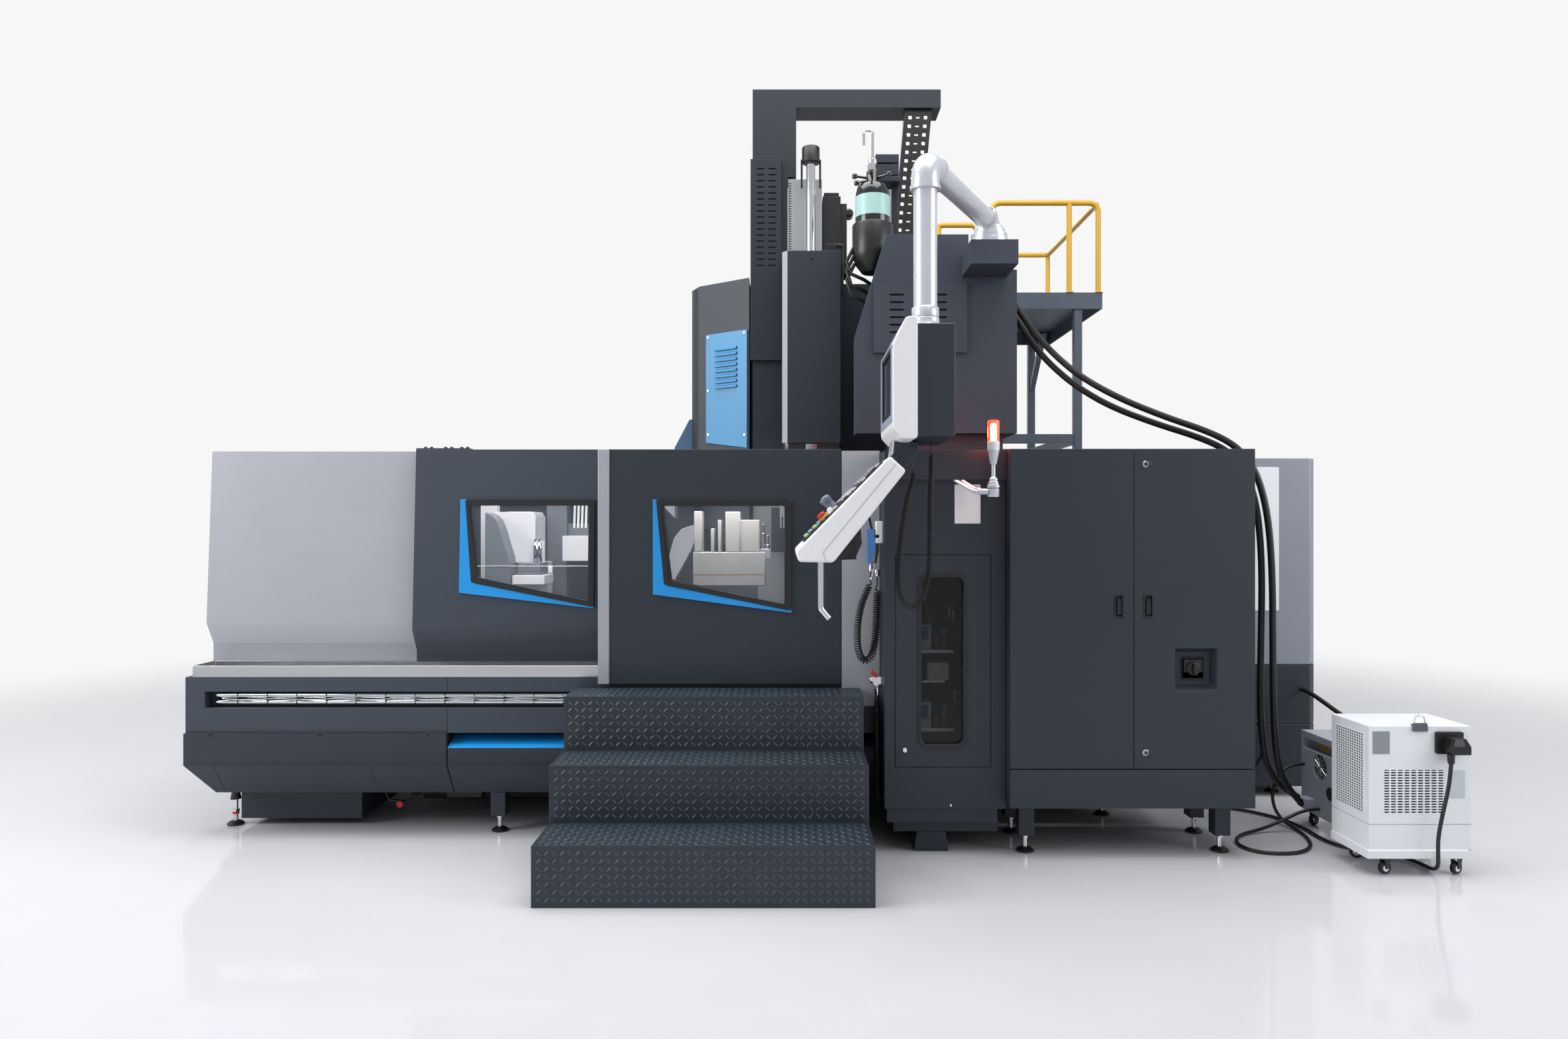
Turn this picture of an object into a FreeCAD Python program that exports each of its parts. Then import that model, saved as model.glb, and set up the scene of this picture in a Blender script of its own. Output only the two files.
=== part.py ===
"""A travelling-table machining centre with its platform, cabinets, pendant and cooling units.

Millimetres. X runs to the right along the front, Y from the operator towards the back and Z up.
The origin is on the floor under the middle of the machine. All driving sizes are in one table.
"""

import FreeCAD, Part
import math
import os
import Sketcher

from FreeCAD import Placement, Rotation, Vector

os.makedirs("parts", exist_ok=True)
doc = FreeCAD.newDocument("machining_centre")
sheet = doc.addObject("Spreadsheet::Sheet", "Sizes")

SIZES = {
    # base and bed
    "base_left": -2935,
    "base_right": 418,
    "base_front": -1420,
    "bed_front": -1170,
    "base_top": 780,
    "cover_seam": 510,
    "slot_left": -2840,
    "slot_right": -60,
    "slot_bottom": 630,
    "slot_top": 709,
    "slot_depth": 60,
    "lower_proud": 18,
    "lower_knee": 356,
    "lower_bottom": 198,
    "lower_bevel": 110,
    "end_bevel": 95,
    "cover_split": -1666,
    "split_gap": 4,
    "ledge_height": 444,
    "ledge_rise": 41,
    "ledge_depth": 108,
    "ledge_plate": 6,
    "tank_left": -2780,
    "tank_right": -2170,
    "tank_front": -1210,
    "tank_back": -700,
    "tank_bottom": 36,
    "tube_radius": 15,
    "tube_pitch": 34,
    "clip_pitch": 232,
    "clip_width": 10,
    "bed_left": -2780,
    "bed_right": 1875,
    "bed_back": 485,
    "bed_bottom": 198,
    "bed_top": 700,
    "way_height": 88,
    "way_width": 70,
    "way_span": 900,
    "sheet_wall": 15,
    "rim_left": -2900,
    "rim_right": 234,
    "rim_height": 55,
    "rim_back": -1231,
    "rim_wall": 4,
    "foot_radius": 40,
    "foot_pad": 24,
    "foot_screw": 14,
    "foot_block": 36,
    "foot_block_bottom": 80,
    # front covers and windows
    "cover_left": -2910,
    "grey_right": -1869,
    "cover_top": 1885,
    "cover_bottom": 837,
    "grey_front": -1230,
    "grey_knuckle": 1029,
    "grey_bevel": 924,
    "knuckle_out": 60,
    "grey_lean": 10,
    "panel_wall": 30,
    "cover_flange": 130,
    "flange_plate": 10,
    "dark_left": -1865,
    "dark_right": -870,
    "dark_top": 1890,
    "dark_front": -1290,
    "dark_knuckle": 1000,
    "dark_bevel": 893,
    "window_top": 1642,
    "window_left": -1635,
    "window_right": -975,
    "window_low_left": 1183,
    "window_low_right": 1107,
    "frame_margin": 48,
    "frame_band": 31,
    "frame_side": 20,
    "frame_wedge": 44,
    "frame_foot": 72,
    "frame_drop": 37,
    "frame_proud": 10,
    "frame_lap": 14,
    "frame_depth": 44,
    "glass_thickness": 8,
    "window_round": 22,
    # operator door
    "door_left": -931,
    "door_right": 235,
    "door_bottom": 752,
    "door_top": 1878,
    "door_front": -1460,
    "door_thickness": 35,
    "door_strip": 54,
    "strip_proud": 5,
    "door_window_top": 1637,
    "door_window_left": -667,
    "door_window_right": -5,
    "door_low_left": 1183,
    "door_low_right": 1095,
    "fixed_right": 418,
    "fixed_bottom": 647,
    "fixed_top": 1870,
    "fit_gap": 2,
    # steps
    "step_left": -1040,
    "step_right": 322,
    "step_rise": 245,
    "step_front": -2290,
    "tread_one": 300,
    "tread_two": 280,
    "step_back": -1462,
    # enclosure walls
    "wall_back": 500,
    "wall_low": 198,
    "wall_join": -1170,
    "front_wall": -1235,
    "hood_left": 334,
    "end_left": 1890,
    "end_right": 2940,
    "end_front": -690,
    "end_low": 60,
    "end_top": 1890,
    "end_chamfer": 46,
    # pneumatic cabinet
    "air_left": 420,
    "air_right": 978,
    "air_front": -1660,
    "air_back": -1235,
    "air_low": 211,
    "air_top": 1856,
    "air_brow": 1722,
    "brow_proud": 18,
    "air_wall": 25,
    "air_door_left": 471,
    "air_door_right": 909,
    "air_door_low": 403,
    "air_door_top": 1376,
    "air_door_thickness": 20,
    "air_door_lap": 14,
    "air_glass_left": 592,
    "air_glass_right": 783,
    "air_glass_low": 508,
    "air_glass_top": 1274,
    "air_plinth_low": 147,
    "air_plinth_inset": 12,
    "air_block_low": 90,
    "air_foot_left": 563,
    "air_foot_right": 725,
    "shelf_one": 909,
    "shelf_two": 538,
    "shelf_plate": 16,
    "shelf_depth": 250,
    # control cabinet
    "cab_left": 980,
    "cab_right": 2085,
    "cab_front": -1740,
    "cab_back": -1235,
    "cab_low": 236,
    "cab_top": 1858,
    "cab_door_low": 414,
    "cab_split": 1538,
    "cab_door_thickness": 25,
    "cab_wall": 24,
    "cab_leg_inset": 100,
    "pull_width": 38,
    "pull_low": 1097,
    "pull_top": 1200,
    "pull_depth": 14,
    "pull_left": 1451,
    "pull_right": 1584,
    "lock_radius": 15,
    "lock_high": 1788,
    "lock_low": 488,
    "recess_left": 1723,
    "recess_right": 1914,
    "recess_low": 768,
    "recess_top": 958,
    "recess_depth": 45,
    "recess_wall": 10,
    "switch_size": 66,
    "switch_grip": 26,
    # column, covers and bridge
    "column_left": -230,
    "column_right": 318,
    "column_front": -100,
    "column_back": 470,
    "column_top": 3000,
    "guide_left": -15,
    "guide_right": 187,
    "guide_front": -300,
    "guide_low": 1250,
    "guide_top": 3585,
    "side_near_left": -248,
    "side_near_front": -290,
    "side_far_left": -567,
    "side_far_front": -70,
    "side_left": -621,
    "side_corner": 40,
    "side_back": 470,
    "side_low": 1400,
    "side_top": 3000,
    "blue_inset": 61,
    "blue_width": 316,
    "blue_low": 1980,
    "blue_top": 2690,
    "blue_plate": 10,
    "louvre_pitch": 33,
    "louvre_height": 12,
    "louvre_out": 8,
    "bridge_left": -228,
    "bridge_right": 899,
    "bridge_front": -290,
    "bridge_back": -100,
    "beam_top": 4126,
    "beam_depth": 110,
    "post_right": 33,
    "post_low_right": -18,
    "post_step": 3600,
    "vent_left": -240,
    "vent_right": -55,
    "vent_low": 2500,
    "vent_top": 3700,
    "vent_out": 25,
    "big_left": 334,
    "big_shoulder_left": 372,
    "big_right": 1172,
    "big_front": -1060,
    "big_back": -300,
    "big_low": 1993,
    "big_top": 3028,
    "big_cut_left": 493,
    "big_shoulder": 2634,
    "big_waist": 2514,
    "big_notch_left": 920,
    "big_notch_low": 2845,
    "big_pocket_right": 560,
    "big_skin": 160,
    "plinth_inset": 60,
    "panel_left": 424,
    "panel_right": 910,
    "panel_low": 2410,
    "panel_top": 2779,
    "panel_out": 14,
    "mount_left": 885,
    "mount_right": 1118,
    "mount_front": -1320,
    "mount_low": 2846,
    "mount_top": 2926,
    # head
    "head_left": -50,
    "head_right": 286,
    "head_front": -510,
    "head_low": 1990,
    "head_top": 3100,
    "head_chamfer": 30,
    "head_wall": 6,
    "head_gap": 8,
    "ram_low": 1560,
    "slide_gap": 0.5,
    "rod_x": 118,
    "rod_y": -395,
    "rod_radius": 26,
    "rod_top": 3660,
    "cap_radius": 50,
    "cap_top": 3735,
    "spindle_x": 118,
    "spindle_y": -420,
    "spindle_radius": 85,
    "nose_radius": 55,
    "nose_low": 1300,
    "nozzle_left": -114,
    "nozzle_right": -70,
    # table
    "table_left": -700,
    "table_right": 900,
    "table_front": -1010,
    "table_back": -400,
    "table_low": 900,
    "table_top": 1000,
    "tee_width": 22,
    "tee_depth": 30,
    "saddle_left": -450,
    "saddle_right": 650,
    "saddle_front": -960,
    "saddle_back": -450,
    "fixture_left": -516,
    "fixture_right": -140,
    "fixture_front": -1005,
    "fixture_back": -865,
    "fixture_low": 1198,
    "fixture_top": 1373,
    "changer_left": -1783,
    "changer_right": -1553,
    "changer_front": -180,
    "changer_back": 60,
    "changer_low": 1290,
    "changer_top": 1600,
    # accumulator and chain
    "bottle_y": -760,
    "bottle_radius": 95,
    "seat_radius": 112,
    "seat_foot": 46,
    "seat_low": 2900,
    "seat_top": 3168,
    "bottle_top": 3390,
    "neck_radius": 36,
    "neck_top": 3460,
    "nut_radius": 28,
    "nut_top": 3528,
    "chain_top_left": 686,
    "chain_width": 163,
    "chain_lean": 134,
    "chain_low": 2550,
    "chain_front": -270,
    "chain_depth": 80,
    "link_pitch": 52,
    "link_hole": 22,
    # platform
    "deck_left": 900,
    "deck_right": 2250,
    "deck_front": 890,
    "deck_back": 2290,
    "deck_low": 3076,
    "deck_top": 3195,
    "deck_plate": 12,
    "deck_wall": 10,
    "leg_size": 57,
    "leg_inset": 142,
    "cross_low": 2112,
    "cross_height": 66,
    "rail_height": 3845,
    "rail_radius": 19,
    "rail_inset": 24,
    "rail_gate": 1457,
    "rail_inner_left": 1158,
    "rail_inner_y": 1434,
    # lamp
    "lamp_x": 902,
    "lamp_y": -1750,
    "lamp_low": 1640,
    "lamp_foot": 1729,
    "lamp_base": 1890,
    "lamp_top": 1986,
    "lamp_radius": 26,
    # pendant arm and pendant
    "arm_x": 995,
    "arm_y": -1210,
    "arm_height": 3047,
    "arm_radius": 50,
    "elbow_x": 559,
    "elbow_y": -2003,
    "flange_radius": 90,
    "flange_thickness": 30,
    "drop_low": 2386,
    "pend_near": -2248,
    "pend_far": -1760,
    "pend_low": 1858,
    "pend_top": 2347,
    "pend_face": 395,
    "pend_mid": 494,
    "pend_rear": 650,
    "pend_slope": 41,
    "pend_crown": 70,
    "screen_near": -2190,
    "screen_far": -1818,
    "screen_low": 1960,
    "screen_top": 2230,
    "screen_out": 6,
    "key_near": -2262,
    "key_far": -1722,
    "key_pivot_x": 429,
    "key_pivot_z": 1775,
    "pin_radius": 9,
    "pin_gap": 0.6,
    "key_tip": 7,
    "key_tip_z": 1408,
    "key_chin": 18,
    "key_low": 1362,
    "key_heel": 156,
    "key_back": 447,
    "key_back_z": 1729,
    "key_top": 382,
    "key_top_z": 1788,
    "stop_radius": 20,
    "stop_height": 34,
    "dial_radius": 32,
    "dial_height": 34,
    "bar_radius": 14,
    # chiller and service unit
    "chill_left": 2477,
    "chill_right": 2917,
    "chill_front": -1940,
    "chill_back": -1653,
    "chill_low": 79,
    "chill_top": 648,
    "skirt_height": 36,
    "grille_left": 2545,
    "grille_right": 2807,
    "grille_low": 273,
    "grille_top": 459,
    "grille_depth": 12,
    "fin_count": 9,
    "caster_radius": 28,
    "caster_width": 22,
    "unit_left": 2608,
    "unit_right": 2936,
    "unit_front": -1620,
    "unit_back": -1140,
    "unit_low": 70,
    "unit_top": 470,
    "unit_slot_low": 365,
    "unit_slot_top": 435,
    "fan_radius": 62,
    "hose_radius": 16,
    "cord_radius": 8,
    "curl_radius": 13,
    "air_curl_radius": 17,
}


class Size:
    """A cell of the table, or a sum or a multiple of cells, as an expression and as a number."""

    def __init__(self, text, value):
        self.text = text
        self.value = float(value)

    def __add__(self, other):
        other = as_size(other)
        return Size(f"({self.text} + {other.text})", self.value + other.value)

    def __radd__(self, other):
        return as_size(other) + self

    def __sub__(self, other):
        other = as_size(other)
        return Size(f"({self.text} - {other.text})", self.value - other.value)

    def __rsub__(self, other):
        return as_size(other) - self

    def __mul__(self, factor):
        factor = as_size(factor)
        return Size(f"({self.text} * {factor.text})", self.value * factor.value)

    def __rmul__(self, factor):
        return self * factor

    def __truediv__(self, factor):
        factor = as_size(factor)
        return Size(f"({self.text} / {factor.text})", self.value / factor.value)

    def __neg__(self):
        return Size(f"(0 - {self.text})", -self.value)


def as_size(number):
    if isinstance(number, Size):
        return number
    return Size(f"({number:.4f})", number)


class Table:
    """The table's cells by name."""


d = Table()
for row, (word, number) in enumerate(SIZES.items(), 1):
    sheet.set(f"A{row}", word)
    sheet.set(f"B{row}", str(number))
    sheet.setAlias(f"B{row}", word)
    setattr(d, word, Size(f"Sizes.{word}", number))
doc.recompute()

pieces = {}


def piece(name, item):
    item.Label = name
    pieces[name] = item
    return item


# ---------------------------------------------------------------- sketches and solids


def rectangle(left, right, low, high):
    return [(left, low), (right, low), (right, high), (left, high)]


def facets(radius):
    """How many sides stand for a circle: more on a larger one."""
    radius = as_size(radius).value
    if radius > 45:
        return 18
    return 14 if radius > 22 else 10


def reach(sides):
    """A many-sided outline's corner distance for a circle of radius 1 with the same area."""
    return math.sqrt(2 * math.pi / (sides * math.sin(2 * math.pi / sides)))


def round_outline(across, up, radius):
    sides = facets(radius)
    corners = []
    for i in range(sides):
        angle = 2 * math.pi * (i + 0.5) / sides
        corners.append((
            across + radius * (reach(sides) * math.cos(angle)),
            up + radius * (reach(sides) * math.sin(angle)),
        ))
    return corners


def draw(sketch, loop):
    """Adds a closed outline to a sketch, every corner bound to the table."""
    first = sketch.GeometryCount
    if len(loop) == 3 and not isinstance(loop[0], tuple):
        loop = round_outline(*[as_size(v) for v in loop])
    corners = [(as_size(a), as_size(b)) for a, b in loop]
    count = len(corners)
    for i in range(count):
        a, b = corners[i], corners[(i + 1) % count]
        start = Vector(a[0].value, a[1].value, 0)
        stop = Vector(b[0].value, b[1].value, 0)
        sketch.addGeometry(Part.LineSegment(start, stop))
    for i in range(count):
        after = first + (i + 1) % count
        sketch.addConstraint(Sketcher.Constraint("Coincident", first + i, 2, after, 1))
    for i in range(count):
        for kind, value in (("DistanceX", corners[i][0]), ("DistanceY", corners[i][1])):
            index = sketch.addConstraint(
                Sketcher.Constraint(kind, -1, 1, first + i, 1, value.value)
            )
            sketch.setExpression(f"Constraints[{index}]", value.text)


def sketch_in(body, plane, at, loops):
    sketch = body.newObject("Sketcher::SketchObject", body.Label + "_sketch")
    support = [f for f in body.Origin.OriginFeatures if f.Role == plane + "_Plane"][0]
    sketch.AttachmentSupport = (support, "")
    sketch.MapMode = "FlatFace"
    at = as_size(at)
    offset = -at if plane == "XZ" else at
    sketch.AttachmentOffset = Placement(Vector(0, 0, offset.value), Rotation())
    sketch.setExpression("AttachmentOffset.Base.z", offset.text)
    for loop in loops:
        draw(sketch, loop)
    sketch.Visibility = False
    return sketch


def pad(body, plane, start, stop, *loops):
    """Adds material from start to stop along the plane's normal."""
    sketch = sketch_in(body, plane, start, loops)
    feature = body.newObject("PartDesign::Pad", body.Label + "_pad")
    feature.Profile = sketch
    length = as_size(stop) - as_size(start)
    feature.Length = length.value
    feature.setExpression("Length", length.text)
    feature.Reversed = plane == "XZ"
    return feature


def pocket(body, plane, start, stop, *loops, taper=None):
    """Removes material from start to stop along the plane's normal."""
    sketch = sketch_in(body, plane, start, loops)
    feature = body.newObject("PartDesign::Pocket", body.Label + "_pocket")
    feature.Profile = sketch
    length = as_size(stop) - as_size(start)
    feature.Length = length.value
    feature.setExpression("Length", length.text)
    feature.Reversed = plane != "XZ"
    if taper:
        feature.TaperAngle = taper
    return feature


def new_body(name):
    body = doc.addObject("PartDesign::Body", name)
    return piece(name, body)


def slab(name, plane, start, stop, *loops):
    body = new_body(name)
    pad(body, plane, start, stop, *loops)
    return body


def round_edges(body, axis, radius, wanted):
    """Rounds the edges that run along an axis and whose middle is wanted."""
    doc.recompute()
    base = body.Tip
    names = []
    for number, edge in enumerate(base.Shape.Edges, 1):
        if not isinstance(edge.Curve, Part.Line):
            continue
        along = edge.Curve.Direction
        if abs(abs(along[axis]) - 1) > 1e-6:
            continue
        if wanted(edge.CenterOfMass):
            names.append(f"Edge{number}")
    feature = body.newObject("PartDesign::Fillet", body.Label + "_round")
    feature.Base = (base, names)
    radius = as_size(radius)
    feature.Radius = radius.value
    feature.setExpression("Radius", radius.text)
    return feature


def block(name, x, y, z):
    item = doc.addObject("Part::Box", name)
    spans = (("Length", "x", x), ("Width", "y", y), ("Height", "z", z))
    for size, axis, (low, high) in spans:
        low, high = as_size(low), as_size(high)
        item.setExpression(size, (high - low).text)
        item.setExpression(f"Placement.Base.{axis}", low.text)
    return item


def rod(name, axis, centre, radius, start, stop, true_corners=False, sides=None):
    """A round bar along an axis; centre gives its two other coordinates in their order."""
    sides = sides or facets(radius)
    item = doc.addObject("Part::Prism", name)
    item.Polygon = sides
    start, stop = as_size(start), as_size(stop)
    turns = {
        "x": Rotation(Vector(0, 1, 0), 90),
        "y": Rotation(Vector(1, 0, 0), -90),
        "z": Rotation(),
    }
    item.Placement = Placement(Vector(0, 0, 0), turns[axis])
    corner = as_size(radius) * (1 if true_corners else reach(sides))
    item.setExpression("Circumradius", corner.text)
    item.setExpression("Height", (stop - start).text)
    item.setExpression(f"Placement.Base.{axis}", start.text)
    for other, value in zip([a for a in "xyz" if a != axis], centre):
        item.setExpression(f"Placement.Base.{other}", as_size(value).text)
    return item


def turned(name, centre, rings, sides=None):
    """A many-sided lathe shape that stands on a centre, from rings of (radius, height)."""
    rings = [(as_size(radius).value, as_size(level).value) for radius, level in rings]
    sides = sides or facets(max(radius for radius, level in rings))
    x, y = as_size(centre[0]).value, as_size(centre[1]).value
    loops = []
    for radius, level in rings:
        loop = []
        for i in range(sides):
            angle = 2 * math.pi * (i + 0.5) / sides
            out = radius * reach(sides)
            loop.append(Vector(x + out * math.cos(angle), y + out * math.sin(angle), level))
        loops.append(loop)
    faces = [Part.Face(Part.makePolygon(loops[0] + loops[0][:1]))]
    for low, high in zip(loops, loops[1:]):
        for k in range(sides):
            n = (k + 1) % sides
            faces.append(Part.Face(Part.makePolygon([low[k], low[n], high[n], high[k], low[k]])))
    faces.append(Part.Face(Part.makePolygon(loops[-1] + loops[-1][:1])))
    solid = Part.Solid(Part.Shell(faces))
    if solid.Volume < 0:
        solid.reverse()
    return feature(name, solid.removeSplitter())


def fuse(name, items):
    item = doc.addObject("Part::MultiFuse", name)
    item.Shapes = items
    item.Refine = True
    return piece(name, item)


def group(name, items):
    item = doc.addObject("Part::Compound", name)
    item.Links = items
    return piece(name, item)


def cut(name, base, tools):
    tool = tools[0]
    if len(tools) > 1:
        tool = doc.addObject("Part::MultiFuse", name + "_tools")
        tool.Shapes = tools
    item = doc.addObject("Part::Cut", name)
    item.Base = base
    item.Tool = tool
    return piece(name, item)


def route(points, bend=None, chord=0.42):
    """Straight runs joined by tangent arcs, as points along it, and the radius of each arc."""
    points = [Vector(*p) for p in points]
    line, radii = [points[0]], []
    for i in range(1, len(points) - 1):
        before, corner, after = points[i - 1], points[i], points[i + 1]
        one, two = (before - corner), (after - corner)
        run = min(one.Length, two.Length)
        one.normalize()
        two.normalize()
        turn = math.pi - one.getAngle(two)
        back = 0.45 * run
        radius = back / math.tan(turn / 2)
        if bend:
            radius = bend
            back = radius * math.tan(turn / 2)
        middle = (one + two).normalize()
        centre = corner + middle * (radius / math.cos(turn / 2))
        enter = corner + one * back - centre
        square = (-one - enter * ((-one).dot(enter) / enter.dot(enter))).normalize()
        count = max(1, math.ceil(turn / chord))
        for k in range(count + 1):
            angle = turn * k / count
            line.append(centre + enter * math.cos(angle) + square * (radius * math.sin(angle)))
        radii.append(radius)
    line.append(points[-1])
    return line, radii


def tube(name, points, radius, sides=8, bend=None, quiet=True, chord=0.42, meets=(None, None)):
    """A many-sided tube along a route of straight runs and tangent arcs.

    meets holds the directions square to the two surfaces that its ends lie flat on."""
    line, radii = route(points, bend, chord)
    ahead = (line[1] - line[0]).normalize()
    square = meets[0] or ahead
    turn = Rotation(Vector(0, 0, 1), ahead)
    ring = []
    for i in range(sides):
        angle = 2 * math.pi * i / sides
        flat = Vector(math.cos(angle), math.sin(angle), 0) * (radius * reach(sides))
        flat = turn.multVec(flat)
        ring.append(line[0] + flat - ahead * (flat.dot(square) / ahead.dot(square)))
    faces = [Part.Face(Part.makePolygon(ring + ring[:1]))]
    length = 0
    for i in range(1, len(line)):
        run = line[i] - line[i - 1]
        length += run.Length
        ahead = run.normalize()
        across = meets[1] or ahead
        if i + 1 < len(line):
            across = ahead + (line[i + 1] - line[i]).normalize()
        ahead = Vector(ahead)
        after = []
        for corner in ring:
            after.append(corner + ahead * ((line[i] - corner).dot(across) / ahead.dot(across)))
        for k in range(sides):
            n = (k + 1) % sides
            loop = [ring[k], ring[n], after[n], after[k], ring[k]]
            faces.append(Part.Face(Part.makePolygon(loop)))
        ring = after
    faces.append(Part.Face(Part.makePolygon(ring + ring[:1])))
    solid = Part.Solid(Part.Shell(faces))
    if solid.Volume < 0:
        solid.reverse()
    want = math.pi * radius**2 * length
    if abs(solid.Volume / want - 1) > 0.02:
        raise RuntimeError(f"{name}: volume {solid.Volume:.0f} for {want:.0f}")
    if not quiet:
        least = min(radii)
        print(f"{name}: length {length:.0f} mm, least bend radius {least:.0f} mm")
    return solid


def feature(name, shape, where=Vector(0, 0, 0)):
    item = doc.addObject("Part::Feature", name)
    item.Shape = shape
    item.Placement = Placement(where, Rotation())
    return item


def trapezium(left, right, top, low_left, low_right):
    """A window outline: level top, upright sides and a sill that falls to the right."""
    return [(left, low_left), (right, low_right), (right, top), (left, top)]


# ---------------------------------------------------------------- bed and base covers

bed = slab(
    "bed", "XZ", d.bed_front, d.bed_back,
    rectangle(d.bed_left, d.bed_right, d.bed_bottom, d.bed_top),
)
way_middle = (d.saddle_left + d.saddle_right) / 2
for side in (-1, 1):
    middle = way_middle + side * d.way_span / 2
    pad(
        bed, "XY", d.bed_top, d.bed_top + d.way_height,
        rectangle(middle - d.way_width / 2, middle + d.way_width / 2,
                  d.bed_front + 40, d.column_front - 60),
    )

base_cover = slab(
    "base_cover", "XZ", d.base_front, d.bed_front,
    rectangle(d.base_left, d.base_right, d.cover_seam, d.base_top),
)
pocket(
    base_cover, "XZ", d.base_front, d.base_front + d.slot_depth,
    rectangle(d.slot_left, d.slot_right, d.slot_bottom, d.slot_top),
)

lower_front = d.base_front - d.lower_proud
left_cover = doc.addObject("PartDesign::Body", "left_lower_cover")
pad(
    left_cover, "YZ", d.base_left, d.cover_split,
    [(lower_front, d.lower_knee), (lower_front + d.lower_bevel, d.lower_bottom),
     (d.bed_front, d.lower_bottom), (d.bed_front, d.cover_seam), (lower_front, d.cover_seam)],
)
pocket(
    left_cover, "XZ", lower_front - 10, d.bed_front + 10,
    [(d.base_left - 10, d.lower_bottom - 10), (d.base_left + d.end_bevel, d.lower_bottom - 10),
     (d.base_left + d.end_bevel, d.lower_bottom), (d.base_left, d.lower_knee),
     (d.base_left - 10, d.lower_knee)],
)
right_cover = doc.addObject("PartDesign::Body", "right_lower_cover")
ledge_front = d.ledge_height - d.ledge_plate
ledge_back = d.ledge_height + d.ledge_rise
ledge_y = lower_front + d.ledge_depth
pad(
    right_cover, "YZ", d.cover_split + d.split_gap, d.base_right,
    [(lower_front, d.lower_knee), (lower_front + d.lower_bevel, d.lower_bottom),
     (d.bed_front, d.lower_bottom), (d.bed_front, d.cover_seam), (ledge_y, d.cover_seam),
     (ledge_y, ledge_back - d.ledge_plate), (lower_front, ledge_front)],
)
tank = block(
    "tank_box", (d.tank_left, d.tank_right), (d.tank_front, d.tank_back),
    (d.tank_bottom, d.bed_bottom),
)
ledge = doc.addObject("PartDesign::Body", "ledge_plate")
pad(
    ledge, "YZ", d.cover_split + d.split_gap, d.base_right,
    [(lower_front, ledge_front), (ledge_y, ledge_back - d.ledge_plate),
     (ledge_y, ledge_back), (lower_front, d.ledge_height)],
)
group("lower_covers", [left_cover, right_cover, tank, ledge])

slot_middle = (d.slot_bottom + d.slot_top) / 2
tube_y = d.base_front + d.slot_depth / 2 + 8
tube_flat = d.tube_radius * (reach(10) * math.cos(math.pi / 10))
tubes = []
for side in (-1, 1):
    tubes.append(rod(
        "slot_tube", "x", (tube_y, slot_middle + side * d.tube_pitch / 2), d.tube_radius,
        d.slot_left + d.slot_depth, d.slot_right,
    ))
clip_count = int((SIZES["slot_right"] - SIZES["slot_left"] - 130) / SIZES["clip_pitch"]) + 1
for i in range(clip_count):
    left = d.slot_left + 120 + d.clip_pitch * i
    tubes.append(block(
        "tube_clip", (left, left + d.clip_width),
        (tube_y + tube_flat, d.base_front + d.slot_depth),
        (slot_middle - d.tube_pitch / 2, slot_middle + d.tube_pitch / 2),
    ))
group("slot_tubes", tubes)

rim_top = d.base_top + d.rim_height
rim = slab(
    "gutter_rim", "YZ", d.rim_left, d.rim_right,
    [(d.base_front, d.base_top), (d.rim_back, d.base_top), (d.rim_back, rim_top),
     (d.rim_back - d.rim_wall, rim_top), (d.rim_back - d.rim_wall, d.base_top + d.rim_wall),
     (d.base_front + d.rim_wall, d.base_top + d.rim_wall), (d.base_front + d.rim_wall, rim_top),
     (d.base_front, rim_top)],
)
pad(
    rim, "YZ", d.rim_left, d.rim_left + d.rim_wall,
    rectangle(d.base_front, d.rim_back, d.base_top, rim_top),
)

# ---------------------------------------------------------------- feet

foot_parts = []


def foot(x, y, top, tall=None):
    """A round pad with its screw and block, between the floor and a casting."""
    low = tall or d.foot_block_bottom
    foot_parts.append(turned("foot_screw", (x, y), [
        (d.foot_radius, 0), (d.foot_screw, d.foot_pad), (d.foot_screw, low),
    ], 8))
    foot_parts.append(block(
        "foot_block", (x - d.foot_block, x + d.foot_block),
        (y - d.foot_block, y + d.foot_block), (low, top),
    ))


foot(d.tank_left - d.foot_block - 2, d.tank_front + 20, d.lower_bottom)
foot(d.base_left + 1485, lower_front + d.lower_bevel + d.foot_block, d.lower_bottom)
foot(d.bed_left + 150, d.bed_back - 120, d.bed_bottom)
foot(d.bed_left + 1900, d.bed_back - 120, d.bed_bottom)
foot(d.bed_right - 300, d.bed_back - 120, d.bed_bottom)
foot(d.bed_right - 250, d.bed_front + 150, d.bed_bottom)
foot(d.end_right - 200, d.end_front + 120, d.end_low, d.foot_pad + 6)
foot(d.end_right - 200, d.wall_back - 120, d.end_low, d.foot_pad + 6)
foot(d.cab_right - d.cab_leg_inset, d.cab_front + 140, d.cab_low)
foot(d.cab_right - d.cab_leg_inset, d.cab_back - 80, d.cab_low)
foot(d.cab_left + d.cab_leg_inset, d.cab_back - 80, d.cab_low)
foot(d.cab_left + d.cab_leg_inset, d.cab_front + 140, d.cab_low)
fuse("levelling_feet", foot_parts)

# ---------------------------------------------------------------- front covers

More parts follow.
